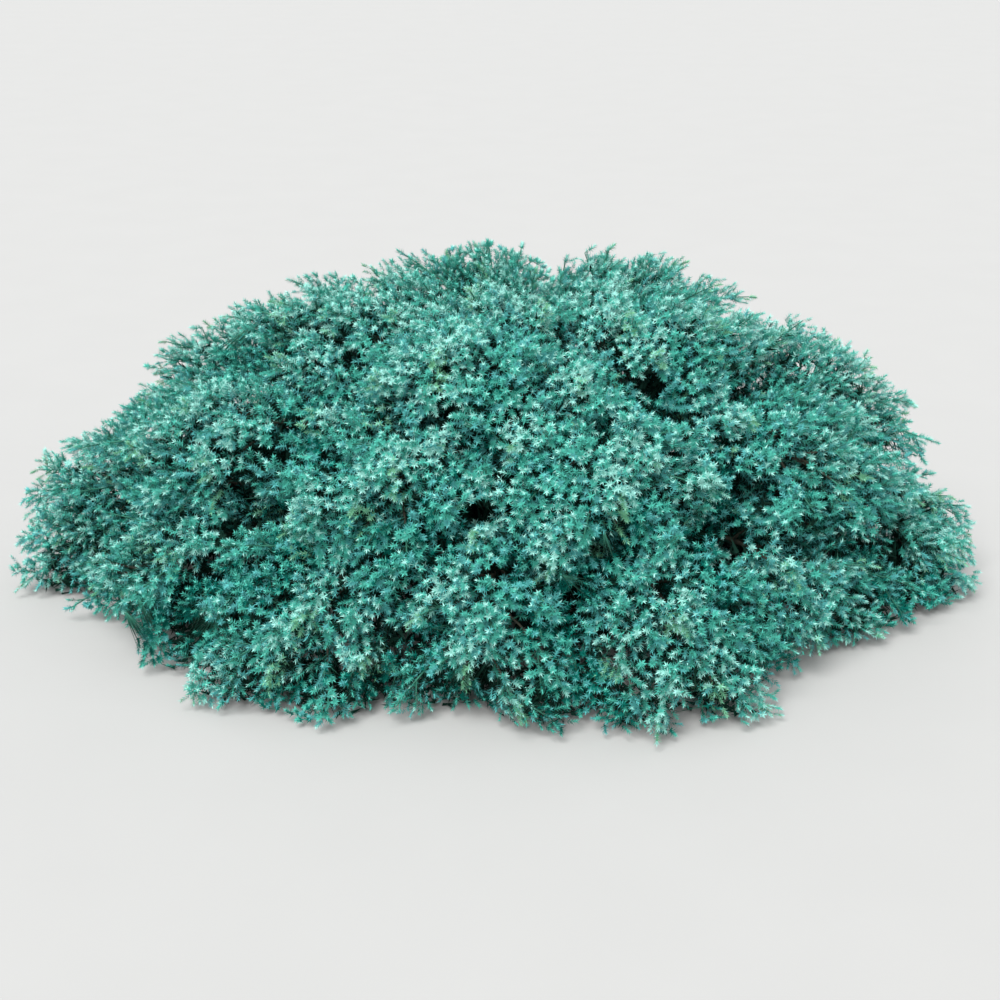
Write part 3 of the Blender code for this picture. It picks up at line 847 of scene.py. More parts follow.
def grow_into_gaps(crown, curves, clothed, layer, seed):
    """Laterals from the nearest twigs into every gap in one layer under the crown's skin."""
    chance = np.random.default_rng(seed)
    low = np.array((-REACH_LEFT, -REACH_FRONT, SHOOT_GROUND))
    high = np.array((REACH_RIGHT, REACH_BACK, layer["top"]))
    spots = chance.uniform(low, high, (layer["tries"], 3))
    spots = spots[in_crown(spots, FULL_SIZE) & ~in_crown(spots, layer["core"])]
    cells = np.floor(spots / layer["spacing"]).astype(int)
    spots = spots[np.unique(cells, axis=0, return_index=True)[1]]
    owners, skin = crown.skin_at(spots)
    skin = skin - layer["under"]
    fits = in_crown(spots, skin) & ~in_crown(spots, skin - layer["depth"])
    spots, owners = spots[fits], owners[fits]
    grown = tree_of(clothed)
    nodes = np.concatenate([curve_point(curves, t) for t in GAP_SHARES])
    headings = np.concatenate([curve_heading(curves, t) for t in GAP_SHARES])
    carriers = np.tile(curves["owner"], len(GAP_SHARES))
    twigs = tree_of(nodes)
    pairs = []
    for spot, owner in zip(spots, owners):
        if grown.find(spot)[2] < layer["room"]:
            continue
        outward = outward_at(spot[None])[0]
        found = None
        for node, i, gap in twigs.find_n(spot, GAP_NODES):
            way = (spot - nodes[i]) / max(gap, 1e-6)
            ahead = way @ headings[i] > layer["ahead"]
            ahead = ahead and way @ outward > layer["ahead"] - GAP_SLACK
            near = gap < layer["reach"]
            if ahead and near and (carriers[i] == owner or found is None):
                found = (carriers[i], nodes[i], way, max(gap, LEAST_GAP), i)
                if carriers[i] == owner:
                    break
        if found is not None:
            pairs.append(found)
    owner, start, heading, length, node = (np.array(part) for part in zip(*pairs))
    count = len(curves["owner"])
    return dict(
        owner=owner, start=start, heading=heading, length=length,
        place=GAP_SHARES[node // count], parent=node % count,
        vigour=curves["vigour"][node % count] * GAP_VIGOUR,
    )


def middle_of(shoots):
    return shoots["foot"] + shoots["heading"] * shoots["length"][:, None] / 2


def end_of(twigs):
    return twigs["start"] + twigs["heading"] * twigs["length"][:, None]


def joined(first, second, names):
    return {name: np.concatenate((first[name], second[name])) for name in names}


def grow_shoots(crown, curves, laterals):
    """Shoots at the tips and on the sides of the laterals, and along the ends of the curves."""
    chance = np.random.default_rng(SEEDS["shoots"])
    found = []

    def add(owner, foot, heading, length, youth, rank, carrier, along, leads=False):
        leading = np.full(len(owner), leads)
        found.append((owner, foot, unit(heading), length, youth, rank, carrier, along, leading))

    count = len(laterals["owner"])
    rows = np.arange(count)
    reach = laterals["length"]
    heading = laterals["heading"]
    outward = outward_at(laterals["start"])
    youth = laterals["place"] ** 2 * laterals["vigour"]
    last = np.minimum(reach, SHOOT_LENGTH * TIP_STRETCH)
    tip = laterals["start"] + heading * (reach - last)[:, None]
    add(
        laterals["owner"], tip, heading + outward * TIP_LIFT, last, youth, np.ones(count), rows,
        reach - last,
    )
    sideways = square_to(np.cross(heading, outward), heading)
    for i in range(SHOOT_PAIRS):
        for way in (-1, 1):
            back = SHOOT_PITCH * (i + 1 + 0.5 * (way > 0))
            back = back + chance.uniform(-PITCH_SPREAD, PITCH_SPREAD, count)
            there = reach - back > FIRST_SHOOT
            roll = chance.uniform(*SHOOT_ROLL, (count, 1))
            aside = way * sideways * np.cos(roll) + outward * np.sin(roll)
            turned = heading * math.cos(SHOOT_OPEN) + aside * math.sin(SHOOT_OPEN)
            turned = turned + outward * SHOOT_LIFT
            length = SHOOT_LENGTH * chance.uniform(*SHOOT_SPREAD, count)
            foot = laterals["start"] + heading * (reach - back)[:, None]
            add(
                laterals["owner"][there], foot[there], turned[there], length[there],
                youth[there] * SIDE_YOUTH, i + chance.uniform(2, 3, there.sum()), rows[there],
                (reach - back)[there],
            )
    length = chord(curves)
    for i in range(LEADER_SHOOTS):
        t = np.maximum(1 - (i + 1) * SHOOT_ROOM / length, LEADER_LOWEST)
        foot = curve_point(curves, t[:, None])
        lead = curve_heading(curves, t[:, None])
        outward = outward_at(foot)
        way = 0 if i == 0 else (-1) ** i
        aside = square_to(np.cross(lead, outward), lead) * way
        rise = LEADER_OUT + LEADER_OUT * min(i, LEADER_TURNS)
        count = len(length)
        add(
            curves["owner"], foot, lead + aside + outward * rise,
            np.full(count, LEADER_LENGTH if i < 2 else SHOOT_LENGTH),
            curves["vigour"] * (1.0 - LEADER_FADE * i), np.full(count, float(i)), np.arange(count), t,
            leads=True,
        )
    owner, foot, heading, length, youth, rank, carrier, along, leading = (
        np.concatenate(part) for part in zip(*found)
    )
    low = np.clip(1 - foot[:, 2:] / LOW_SHOOT, 0, 1)
    flow = crown.spray_height(foot)[2]
    rise = SHOOT_RISE * (1 - np.linalg.norm(flow, axis=-1, keepdims=True)) + low * LOW_LIFT
    heading = unit(heading + flow * FLOW + UP * rise)
    tips = foot + heading * length[:, None]
    fits = in_crown(tips, crown.skin_at(tips)[1])
    fits |= leading & in_crown(tips, FULL_SIZE + LEADER_PROUD)
    fits &= np.minimum(tips[:, 2], foot[:, 2]) > SHOOT_GROUND
    shoots = dict(
        owner=owner, foot=foot, heading=heading, length=length, youth=youth, rank=rank,
        carrier=carrier, along=along, leading=leading,
    )
    return chosen(shoots, fits)


def keep_spent(crown, curves, laterals):
    """Where dead needles stay, on the inner lengths of branchlets and on low laterals."""
    chance = np.random.default_rng(SEEDS["dead_shoots"])
    length = chord(curves)
    found = []
    for i in range(int(length.max() / SPENT_PITCH)):
        t = (i + chance.random(len(length))) * SPENT_PITCH / length
        rows = np.flatnonzero(t < 1)
        kept = chosen(curves, rows)
        found.append((curve_point(kept, t[rows, None]), curve_heading(kept, t[rows, None])))
    low = laterals["end"][:, 2] < SPENT_LOW
    found.append((laterals["end"][low], laterals["heading"][low]))
    foot, heading = (np.concatenate(part) for part in zip(*found))
    high = np.clip(foot[:, 2] / LOW, 0, 1)
    depth = SPENT_LOW_DEPTH + (SPENT_DEPTH - SPENT_LOW_DEPTH) * high
    inside = in_crown(foot, crown.skin_at(foot)[1] - depth) & (foot[:, 2] > GROUND_MARGIN)
    foot, heading = foot[inside], heading[inside]
    cells = np.floor(foot / SPENT_PITCH).astype(int)
    kept = np.unique(cells, axis=0, return_index=True)[1]
    return dict(foot=foot[kept], heading=heading[kept], scale=np.ones(len(kept)))


def chosen(table, rows):
    return {name: column[rows] for name, column in table.items()}


def bear(curves, sides, laterals, shoots):
    """How much of each twig bears a shoot: a share of each curve, and a length of each lateral."""
    leading = shoots["leading"]
    reach = np.zeros(len(laterals["owner"]))
    np.maximum.at(reach, shoots["carrier"][~leading], shoots["along"][~leading])
    share = np.zeros(len(curves["owner"]))
    np.maximum.at(share, shoots["carrier"][leading], shoots["along"][leading])
    used = reach > 0
    np.maximum.at(share, laterals["parent"][used], laterals["place"][used])
    last = len(curves["owner"]) - len(set(curves["owner"]))
    used = share[last - len(sides["owner"]):last] > 0
    np.maximum.at(share, sides["parent"][used], sides["place"][used])
    return share, reach


def spaced_out(shoots):
    """Shoots with room round each: a leader before a lateral's tip before the rest."""
    spots = middle_of(shoots)
    near = tree_of(spots)
    free = np.ones(len(spots), bool)
    kept = []
    for i in np.argsort(shoots["rank"], kind="stable"):
        if free[i]:
            kept.append(i)
            free[[j for _, j, _ in near.find_range(spots[i], SHOOT_SPACING)]] = False
    return chosen(shoots, np.sort(kept))


def light_on(shoots):
    """How well each shoot is seen from its most open side, and how much sky lights it."""
    middles = middle_of(shoots)
    low = middles.min(0) - LIGHT_MARGIN
    size = np.ceil((middles.max(0) + LIGHT_MARGIN - low) / LIGHT_CELL).astype(int)
    crowd = np.zeros(size)
    np.add.at(crowd, tuple(((middles - low) / LIGHT_CELL).astype(int).T), 1)
    for axis in range(3):
        crowd = (np.roll(crowd, 1, axis) + crowd + np.roll(crowd, -1, axis)) / 3
    seen, sky, weight = [], 0, 0
    directions = [(0.0, 0.0, 1.0)]
    for row, elevation in enumerate(np.radians(LIGHT_ELEVATIONS)):
        for turn in (np.arange(LIGHT_AZIMUTHS) + row / 2) * 2 * math.pi / LIGHT_AZIMUTHS:
            level = math.cos(elevation)
            directions.append((math.cos(turn) * level, math.sin(turn) * level, math.sin(elevation)))
    for direction in np.array(directions):
        passed = np.zeros(len(middles))
        for step in range(1, LIGHT_STEPS + 1):
            reached = middles + direction * LIGHT_CELL * (step + LIGHT_START)
            cell = ((reached - low) / LIGHT_CELL).astype(int)
            inside = ((cell >= 0) & (cell < size)).all(-1)
            passed[inside] += crowd[tuple(cell[inside].T)]
        clear = np.exp(-SHOOT_SHADE * passed)
        seen.append(clear)
        sky = sky + clear * direction[2]
        weight += direction[2]
    best = np.sort(np.array(seen), axis=0)[-BEST_SIDES:].mean(0)
    return best, sky / weight


@lru_cache(maxsize=1)
def growth():
    """The whole crown, grown once for all the operators."""
    crown = Crown()
    chance = np.random.default_rng(SEEDS["vigour"])
    branchlets = grow_branchlets(crown)
    crown.cut_under_skin(branchlets)
    vigour = chance.uniform(*BRANCHLET_VIGOUR, len(branchlets["owner"]))
    branchlets["vigour"] = np.where(branchlets["place"] == 1, LEADER_VIGOUR, vigour)
    crown.raise_sprays(branchlets)
    sides = side_growth(crown, branchlets, SIDE_BRANCHLETS, SEEDS["side_branchlets"])
    crown.cut_under_skin(sides)
    sides["vigour"] = branchlets["vigour"][sides["parent"]] * sides["place"]
    laterals = side_growth(crown, branchlets, LATERALS, SEEDS["laterals"])
    laterals["vigour"] = branchlets["vigour"][laterals["parent"]]
    finer = side_growth(crown, sides, SIDE_LATERALS, SEEDS["side_laterals"])
    finer["vigour"] = sides["vigour"][finer["parent"]]
    finer["parent"] += len(branchlets["owner"])
    names = ("owner", "start", "middle", "end", "vigour")
    stems = stems_of(crown)
    crown.cut_under_skin(stems)
    curves = joined(joined(branchlets, sides, names), stems, names)
    names = ("owner", "start", "heading", "length", "place", "vigour", "parent")
    laterals = joined(laterals, finer, names)
    clothed = middle_of(spaced_out(grow_shoots(crown, curves, laterals)))
    filling = grow_into_gaps(crown, curves, clothed, SKIN_GAPS, SEEDS["skin"])
    laterals = joined(laterals, filling, names)
    ends = end_of(laterals)
    dead = grow_into_gaps(crown, curves, ends[ends[:, 2] < LOW], FOOT_GAPS, SEEDS["foot"])
    shoots = spaced_out(grow_shoots(crown, curves, laterals))
    shoots["seen"], shoots["sky"] = light_on(shoots)
    # The arrowheads' height sets painted light on their ridges and painted shade in the valleys; the
    # lead sets the young tips.
    shoots["height"], shoots["lead"], _ = crown.spray_height(shoots["foot"])
    order = np.argsort(-shoots["seen"], kind="stable")
    shoots["full"] = np.zeros(len(order), bool)
    shoots["full"][order[:FULL_SHOOTS]] = True
    live = chosen(shoots, np.sort(order[:LIVE_SHOOTS]))
    live["lit"] = np.argsort(np.argsort(live["sky"])) / len(live["sky"])
    twigs = joined(laterals, dead, names)
    twigs["end"] = end_of(twigs)
    spent = keep_spent(crown, curves, twigs)
    inner = grow_into_gaps(crown, curves, spent["foot"], INNER_GAPS, SEEDS["inner"])
    inner["foot"] = end_of(inner)
    inner["scale"] = np.full(len(inner["foot"]), INNER_SCALE)
    spent = joined(spent, inner, ("foot", "heading", "scale"))
    dead = joined(dead, inner, names)
    share, reach = bear(curves, sides, laterals, live)
    laterals = joined(laterals, dead, names)
    reach = np.concatenate((reach, dead["length"]))
    return SimpleNamespace(
        crown=crown, curves=curves, share=share, laterals=laterals, reach=reach, shoots=live,
        spent=spent, branchlets=len(branchlets["owner"]), sides=len(sides["owner"]),
    )


# Meshes from arrays.


def mesh_piece(name, vertices, faces, slots=None, materials=(), smooth=False):
    """An object from arrays of vertices and faces of one size, each with a material's number."""
    vertices = vertices * (1, 1, 1)
    vertices[:, 2] = np.maximum(vertices[:, 2], 0)
    mesh = bpy.data.meshes.new(name)
    corners = faces.shape[1]
    mesh.vertices.add(len(vertices))
    mesh.vertices.foreach_set("co", np.ascontiguousarray(vertices, np.float32).ravel())
    mesh.loops.add(faces.size)
    mesh.loops.foreach_set("vertex_index", np.ascontiguousarray(faces, np.int32).ravel())
    mesh.polygons.add(len(faces))
    mesh.polygons.foreach_set("loop_start", np.arange(0, faces.size, corners, dtype=np.int32))
    for material in materials:
        mesh.materials.append(material)
    if slots is not None:
        mesh.polygons.foreach_set("material_index", np.ascontiguousarray(slots, np.int32))
    mesh.polygons.foreach_set("use_smooth", np.full(len(faces), smooth))
    mesh.update(calc_edges=True)
    piece = bpy.data.objects.new(name, mesh)
    bpy.context.scene.collection.objects.link(piece)
    return piece


def sides_of(axes, nudge):
    """For each axis a side square to it and the direction above; the nudge is for upright axes."""
    side = square_to(np.cross(axes, UP) + nudge, axes)
    return side, np.cross(side, axes)


def ring_of(side, above, turns):
    """A ring of directions round each axis, from its side and the direction above."""
    return side[..., None, :] * np.cos(turns)[:, None] + above[..., None, :] * np.sin(turns)[:, None]


def wall_faces(rings, sides):
    """The four-cornered faces between rings of points."""
    a = np.arange(sides)
    b = (a + 1) % sides
    one = np.stack((a, b, b + sides, a + sides), axis=-1)
    return (one + np.arange(rings - 1)[:, None, None] * sides).reshape(-1, 4)


def halved(faces):
    """Each four-cornered face as two triangles."""
    return np.concatenate((faces[:, :3], faces[:, (0, 2, 3)]))


def stacked(parts):
    """The vertices and the faces of several parts as one mesh."""
    starts = np.cumsum([0] + [len(part[0]) for part in parts])
    faces = [part[1] + start for part, start in zip(parts, starts)]
    return np.concatenate([part[0] for part in parts]), np.concatenate(faces)


def tubes(paths, radii, sides):
    """Tapering tubes along many paths of as many points each, as vertices and triangles."""
    count, rings = paths.shape[:2]
    side, above = sides_of(unit(np.gradient(paths, axis=1)), TWIG_NUDGE)
    ring = ring_of(side, above, np.arange(sides) * 2 * math.pi / sides)
    vertices = (paths[:, :, None] + ring * radii[..., None, None]).reshape(-1, 3)
    starts = np.arange(count)[:, None, None] * rings * sides
    return vertices, halved((wall_faces(rings, sides) + starts).reshape(-1, 4))


def spikes(starts, ends, radius):
    """Thin three-sided spikes, as vertices and triangles."""
    side, above = sides_of(unit(ends - starts), TWIG_NUDGE)
    corners = [
        starts + (side * math.cos(turn) + above * math.sin(turn)) * radius
        for turn in (0, 2 * math.pi / 3, 4 * math.pi / 3)
    ]
    vertices = np.stack((*corners, ends), axis=1).reshape(-1, 3)
    faces = np.array(((0, 1, 3), (1, 2, 3), (2, 0, 3)))
    return vertices, (np.arange(len(starts))[:, None, None] * 4 + faces).reshape(-1, 3)


def needle_mesh(shoots, rows, needles, whorls):
    """Whorls of three needles on these shoots, each needle a flat awl.

    Returns the vertices, the triangles, and the shoot, the place along it and a chance of each.
    """
    chance = np.random.default_rng(SEEDS["needles"] + int(rows[0]))
    foot, heading = shoots["foot"][rows], shoots["heading"][rows]
    length = shoots["length"][rows][:, None, None]
    count = len(rows)
    side, above = sides_of(heading, NEEDLE_NUDGE)
    ring = np.arange(whorls)
    along = (ring + WHORL_FOOT) / whorls
    spin = chance.uniform(0, 2 * math.pi, (count, 1, 1))
    turn = spin + ring[None, :, None] * math.pi / 3 + np.arange(3) * 2 * math.pi / 3
    turn = turn + chance.uniform(-TURN_SPREAD, TURN_SPREAD, turn.shape)
    young = np.clip(shoots["youth"][rows], 0, 1)[:, None, None]
    lean = (LEAN_FOOT - LEAN_FALL * along**LEAN_POWER)[None, :, None] * (1 - YOUNG_LEAN * young)
    lean = lean + chance.uniform(-LEAN_SPREAD, LEAN_SPREAD, turn.shape)
    size = 1 - TIP_SHRINK * along**2 - FOOT_SHRINK * (1 - along) ** 3
    size = size[None, :, None] * (1 - YOUNG_SIZE * young) * chance.uniform(*SIZE_SPREAD, turn.shape)
    axis = heading[:, None, None]
    around = side[:, None, None] * np.cos(turn)[..., None]
    around = around + above[:, None, None] * np.sin(turn)[..., None]
    cos, sin = np.cos(lean)[..., None], np.sin(lean)[..., None]
    point = axis * cos + around * sin
    face = axis * sin - around * cos
    across = np.cross(point, face)
    root = foot[:, None, None] + axis * (along[None, :, None] * length)[..., None]
    root = np.broadcast_to(root, point.shape)
    tip = root + point * (size * needles.length)[..., None]
    half = (size * needles.width / 2)[..., None]
    corners = (root - across * half, root + across * half, tip)
    vertices = np.stack(corners, axis=-2).reshape(-1, 3)
    faces = np.arange(turn.size * 3).reshape(-1, 3)
    shoot = np.broadcast_to(rows[:, None, None], turn.shape).ravel()
    place = np.broadcast_to(along[None, :, None], turn.shape).ravel()
    return vertices, faces, shoot, place, chance.random(turn.size)


def spent_mesh(crown, shoots, needles):
    """Dead needles, wide and drooping, on each of these shoots, all under the crown's skin. Their
    near-black colour is painted shade for the crown's hollows.
    """
    chance = np.random.default_rng(SEEDS["dead_needles"])
    shape = (len(shoots["foot"]), SPENT_NEEDLES, 1)
    axis = shoots["heading"][:, None]
    side, above = sides_of(axis, NEEDLE_NUDGE)
    turn = chance.uniform(0, 2 * math.pi, shape)
    lean = chance.uniform(*SPENT_LEAN, shape)
    around = side * np.cos(turn) + above * np.sin(turn)
    point = axis * np.cos(lean) + around * np.sin(lean)
    spin = chance.uniform(0, math.pi, shape)
    face = axis * np.sin(lean) - around * np.cos(lean)
    across = np.cross(point, face) * np.cos(spin) + face * np.sin(spin)
    root = shoots["foot"][:, None] + axis * chance.uniform(*SPENT_SLIDE, shape)
    scale = shoots["scale"][:, None, None]
    half = across * scale * needles.width * SPENT_WIDTH / 2
    tip = root + point * scale * needles.length * SPENT_LENGTH
    ends = tip.reshape(-1, 3)
    under = in_crown(ends, crown.skin_at(ends)[1] - SPENT_UNDER) & (ends[:, 2] > GROUND_MARGIN)
    corners = np.stack((root - half, root + half, tip), -2).reshape(-1, 3, 3)[under]
    return corners.reshape(-1, 3), np.arange(len(corners) * 3).reshape(-1, 3)


# Materials.


class Sock:
    """A socket in a material's node tree, for use in Python expressions."""

    def __init__(self, shader, socket):
        self.shader = shader
        self.socket = socket

    def maths(self, operation, *values):
        return self.shader.add("ShaderNodeMath", {"operation": operation}, dict(enumerate(values)))

    def __add__(self, other):
        return self.maths("ADD", self, other)

    def __sub__(self, other):
        return self.maths("SUBTRACT", self, other)

    def __rsub__(self, other):
        return self.maths("SUBTRACT", other, self)

    def __mul__(self, other):
        return self.maths("MULTIPLY", self, other)

    __radd__ = __add__
    __rmul__ = __mul__


class Shader:
    """A new material whose nodes are added by type, settings and inputs."""

    def __init__(self, name):
        self.material = bpy.data.materials.new(name)
        self.material.use_nodes = True
        self.tree = self.material.node_tree
        self.surface = self.tree.nodes["Principled BSDF"]

    def add(self, kind, settings=None, inputs=None, output=0):
        node = self.tree.nodes.new(kind)
        for name, value in (settings or {}).items():
            setattr(node, name, value)
        for name, value in (inputs or {}).items():
            self.feed(node.inputs[name], value)
        return Sock(self, node.outputs[output])

    def feed(self, socket, value):
        if isinstance(value, Sock):
            self.tree.links.new(value.socket, socket)
        else:
            socket.default_value = value

    def mix(self, factor, first, second):
        """A colour between two colours."""
        node = self.tree.nodes.new("ShaderNodeMix")
        node.data_type = "RGBA"
        self.feed(node.inputs["Factor"], factor)
        self.feed(node.inputs["A"], first)
        self.feed(node.inputs["B"], second)
        return Sock(self, node.outputs["Result"])

    def shades(self, factor, colour, dark, light):
        """This colour, from darker to lighter."""
        return self.mix(factor, solid(colour, dark), solid(colour, light))

    def bump(self, height, strength, distance):
        inputs = {"Height": height, "Strength": strength, "Distance": distance}
        return self.add("ShaderNodeBump", {}, inputs)

    def place(self):
        return self.add("ShaderNodeTexCoord", output="Object")

    def cloud(self, place, scale, detail=2.0, roughness=0.5):
        return self.add(
            "ShaderNodeTexNoise", {},
            {"Vector": place, "Scale": scale, "Detail": detail, "Roughness": roughness},
        )

    def finish(self, **inputs):
        """Feeds the surface's sockets, named with _ for a space."""
        for name, value in inputs.items():
            self.feed(self.surface.inputs[name.replace("_", " ")], value)
        return self.material


def solid(colour, share=1.0):
    return (*(min(channel * share, 1.0) for channel in colour), 1.0)


def needle_material(name, colour, roughness, gloss):
    """Waxy needles: one plain colour that drifts a little over the crown."""
    shader = Shader(name)
    place = shader.place()
    (wide, much), (fine, little) = NEEDLE_DRIFT, NEEDLE_GRAIN
    drift = shader.cloud(place, wide) * much + shader.cloud(place, fine, detail=0.0) * little
    shade = shader.shades(drift, colour, *NEEDLE_SHADES)
    return shader.finish(Base_Color=shade, Roughness=roughness, Specular_IOR_Level=gloss)


def bark_material(name, ridge, furrow_and_shade, scale):
    """Stringy bark: weathered strips over redder furrows, whose colour is also darker as painted
    shade.
    """
    shader = Shader(name)
    place = shader.place()
    depth = shader.add("ShaderNodeAttribute", {"attribute_name": "ridge"}, output="Fac")
    grain = shader.cloud(place, scale, detail=6.0, roughness=0.65)
    # Low on the ridge relief the furrow colour takes over: redder bark and painted shade together.
    mask = depth * RIDGE_SHARE + grain * GRAIN_SHARE - MASK_DROP
    colour = shader.mix(mask, solid(furrow_and_shade), solid(ridge))
    bump = shader.bump(grain, *BARK_BUMP)
    return shader.finish(Base_Color=colour, Roughness=0.95 - grain * 0.2, Normal=bump)


def twig_material(name, colour):
    shader = Shader(name)
    grain = shader.cloud(shader.place(), TWIG_GRAIN, detail=3.0)
    shade = shader.shades(grain, colour, *TWIG_SHADES)
    bump = shader.bump(grain, *TWIG_BUMP)
    return shader.finish(Base_Color=shade, Roughness=0.8, Normal=bump)


def floor_material(name, colour):
    shader = Shader(name)
    grain = shader.cloud(shader.place(), FLOOR_GRAIN, detail=4.0)
    shade = shader.shades(grain, colour, *FLOOR_SHADES)
    return shader.finish(Base_Color=shade, Roughness=0.9)


# Pieces.


def bark_tube(points, radii, sides, relief, seed, flare=None):
    """A limb with furrowed bark: rings along its points, with closed ends."""
    points = np.array(points)
    rings = len(points)
    heading = unit(np.gradient(points, axis=0))
    side = unit(np.cross(heading, BARK_SIDE))
    above = np.cross(side, heading)
    turns = np.arange(sides) * 2 * math.pi / sides
    around = ring_of(side, above, turns)
    walked = np.concatenate(([0], np.cumsum(np.linalg.norm(np.diff(points, axis=0), axis=-1))))
    ridge = np.empty((rings, sides))
    for i in range(rings):
        for j in range(sides):
            twist = turns[j] + walked[i] * BARK_TWIST
            across = (math.cos(twist) * BARK_ROUND, math.sin(twist) * BARK_ROUND)
            spot = Vector((*across, walked[i] * BARK_ALONG + seed))
            ridge[i, j] = 0.5 + 0.5 * noise.fractal(spot, *BARK_NOISE)
    ridge = np.clip(ridge, 0, 1)
    grown = radii[:, None] * (1 - relief + relief * RIDGE_GAIN * ridge)
    if flare is not None:
        grown = grown * flare(turns)
    vertices = points[:, None] + around * grown[..., None]
    vertices = np.concatenate((vertices.reshape(-1, 3), points[:1], points[-1:]))
    wall = wall_faces(rings, sides)
    a, b = wall[:sides, 0], wall[:sides, 1]
    foot, tip, last = rings * sides, rings * sides + 1, (rings - 1) * sides
    caps = [np.stack((b, a, np.full(sides, foot)), axis=-1)]
    caps.append(np.stack((a + last, b + last, np.full(sides, tip)), axis=-1))
    shades = np.concatenate((ridge.ravel(), (CAP_SHADE, CAP_SHADE)))
    return vertices, np.concatenate((halved(wall), *caps)), shades


def join_parts(name, parts, material):
    """One piece from several (vertices, faces, shades)."""
    piece = mesh_piece(name, *stacked(parts), materials=[material], smooth=True)
    attribute = piece.data.attributes.new("ridge", "FLOAT", "POINT")
    shades = np.concatenate([p[2] for p in parts])
    attribute.data.foreach_set("value", shades.astype(np.float32))
    piece.data.set_sharp_from_angle(angle=SHARP_ANGLE)
    return piece


class JUNIPER_OT_trunk(bpy.types.Operator):
    """Builds the trunk with its root flare and furrowed bark"""

    bl_idname = "juniper.trunk"
    bl_label = "Trunk"

    def execute(self, context):
        bark = context.scene.juniper_bark
        low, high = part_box("trunk")
        shares = np.linspace(0, 1, TRUNK_RINGS)
        heights = low.z + (high.z - low.z) * shares
        points = np.stack((TRUNK_LEAN * shares, np.zeros(TRUNK_RINGS), heights), axis=-1)
        flare = np.exp(-shares * FLARE_FADE)
        radii = TRUNK_RADIUS + (TRUNK_TOP_RADIUS - TRUNK_RADIUS) * shares
        radii = radii + (FLARE_RADIUS - TRUNK_RADIUS) * flare

        def lobes(turns):
            return 1 + FLARE_LOBE_SHARE * flare[:, None] * np.cos(FLARE_LOBES * turns)

        material = bark_material("trunk_bark", bark.ridge, bark.furrow_and_shade, TRUNK_GRAIN)
        part = bark_tube(points, radii, TRUNK_SIDES, bark.relief, TRUNK_NOISE, lobes)
        piece = join_parts("trunk_bark", [part], material)
        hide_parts("trunk")
        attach(piece, BODY)
        return {"FINISHED"}


class JUNIPER_OT_boughs(bpy.types.Operator):
    """Builds the tapering boughs of each tier with furrowed bark"""

    bl_idname = "juniper.boughs"
    bl_label = "Boughs"

    def execute(self, context):
        bark = context.scene.juniper_bark
        crown = growth().crown
        material = bark_material("bough_bark", bark.ridge, bark.furrow_and_shade, BOUGH_GRAIN)
        for tier in TIERS:
            parts, nodes = [], []
            for seed, plume in enumerate(p for p in crown.plumes if p["tier"] == tier):
                start, middle, end, thick, thin = plan_bough(plume)
                shares = np.linspace(0, 1, BOUGH_RINGS)
                points = bend(start, middle, end, shares[:, None])
                radii = thick + (thin - thick) * shares
                noise_start = BOUGH_NOISE * seed
                parts.append(bark_tube(points, radii, BOUGH_SIDES, bark.relief, noise_start))
                nodes.append(plume["name"].replace("plume", "bough"))
            piece = join_parts(f"boughs_{tier}", parts, material)
            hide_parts(*nodes)
            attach(piece, BODY)
        return {"FINISHED"}


class JUNIPER_OT_twigs(bpy.types.Operator):
    """Builds the plumes' stems, branchlets and laterals"""

    bl_idname = "juniper.twigs"
    bl_label = "Twigs"

    def execute(self, context):
        bark = context.scene.juniper_bark
        grown = growth()
        crown, curves, laterals, share = grown.crown, grown.curves, grown.laterals, grown.share
        materials = [twig_material("twig_bark", bark.twig), twig_material("twig_green", bark.shoot)]
        number = np.arange(len(share))
        large = number < grown.branchlets
        finer = ~large & (number < grown.branchlets + grown.sides)
        stems = chosen(curves, number[-len(crown.plumes):])
        for tier, sizes in TIERS.items():
            plumes = [p["tier"] == tier for p in crown.plumes]
            shares = np.linspace(0, 1, STEM_RINGS)
            own = chosen(stems, np.flatnonzero(plumes))
            paths = np.stack([curve_point(own, t) for t in shares], axis=1)
            radii = np.tile(sizes["stem_radius"] * (1 - STEM_TAPER * shares), (len(paths), 1))
            parts = [tubes(paths, radii, STEM_SIDES)]
            here = np.isin(curves["owner"], np.flatnonzero(plumes)) & (share > 0)
            for kind, tube in ((large, BRANCHLET_TUBE), (finer, SIDE_TUBE)):
                rows = np.flatnonzero(here & kind)
                kept = chosen(curves, rows)
                along = np.linspace(0, 1, tube["rings"])
                paths = np.stack([curve_point(kept, share[rows, None] * t) for t in along], axis=1)
                radii = tube["thick"] + (tube["thin"] - tube["thick"]) * along
                parts.append(tubes(paths, np.tile(radii, (len(rows), 1)), tube["sides"]))
            rows = np.isin(laterals["owner"], np.flatnonzero(plumes)) & (grown.reach > 0)
            starts = laterals["start"][rows]
            ends = starts + laterals["heading"][rows] * grown.reach[rows, None]
            parts.append(spikes(starts, ends, SPIKE_RADIUS))
            slots = [np.full(len(faces), int(i >= 2)) for i, (_, faces) in enumerate(parts)]
            stretches = BRANCHLET_TUBE["rings"] - 1
            stretch = np.arange(len(slots[1])) // BRANCHLET_TUBE["sides"] % stretches
            slots[1] = (stretch >= GREEN_STRETCH).astype(int)
            piece = mesh_piece(
                f"twigs_{tier}", *stacked(parts), np.concatenate(slots), materials, smooth=True
            )
            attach(piece, BODY)
        return {"FINISHED"}


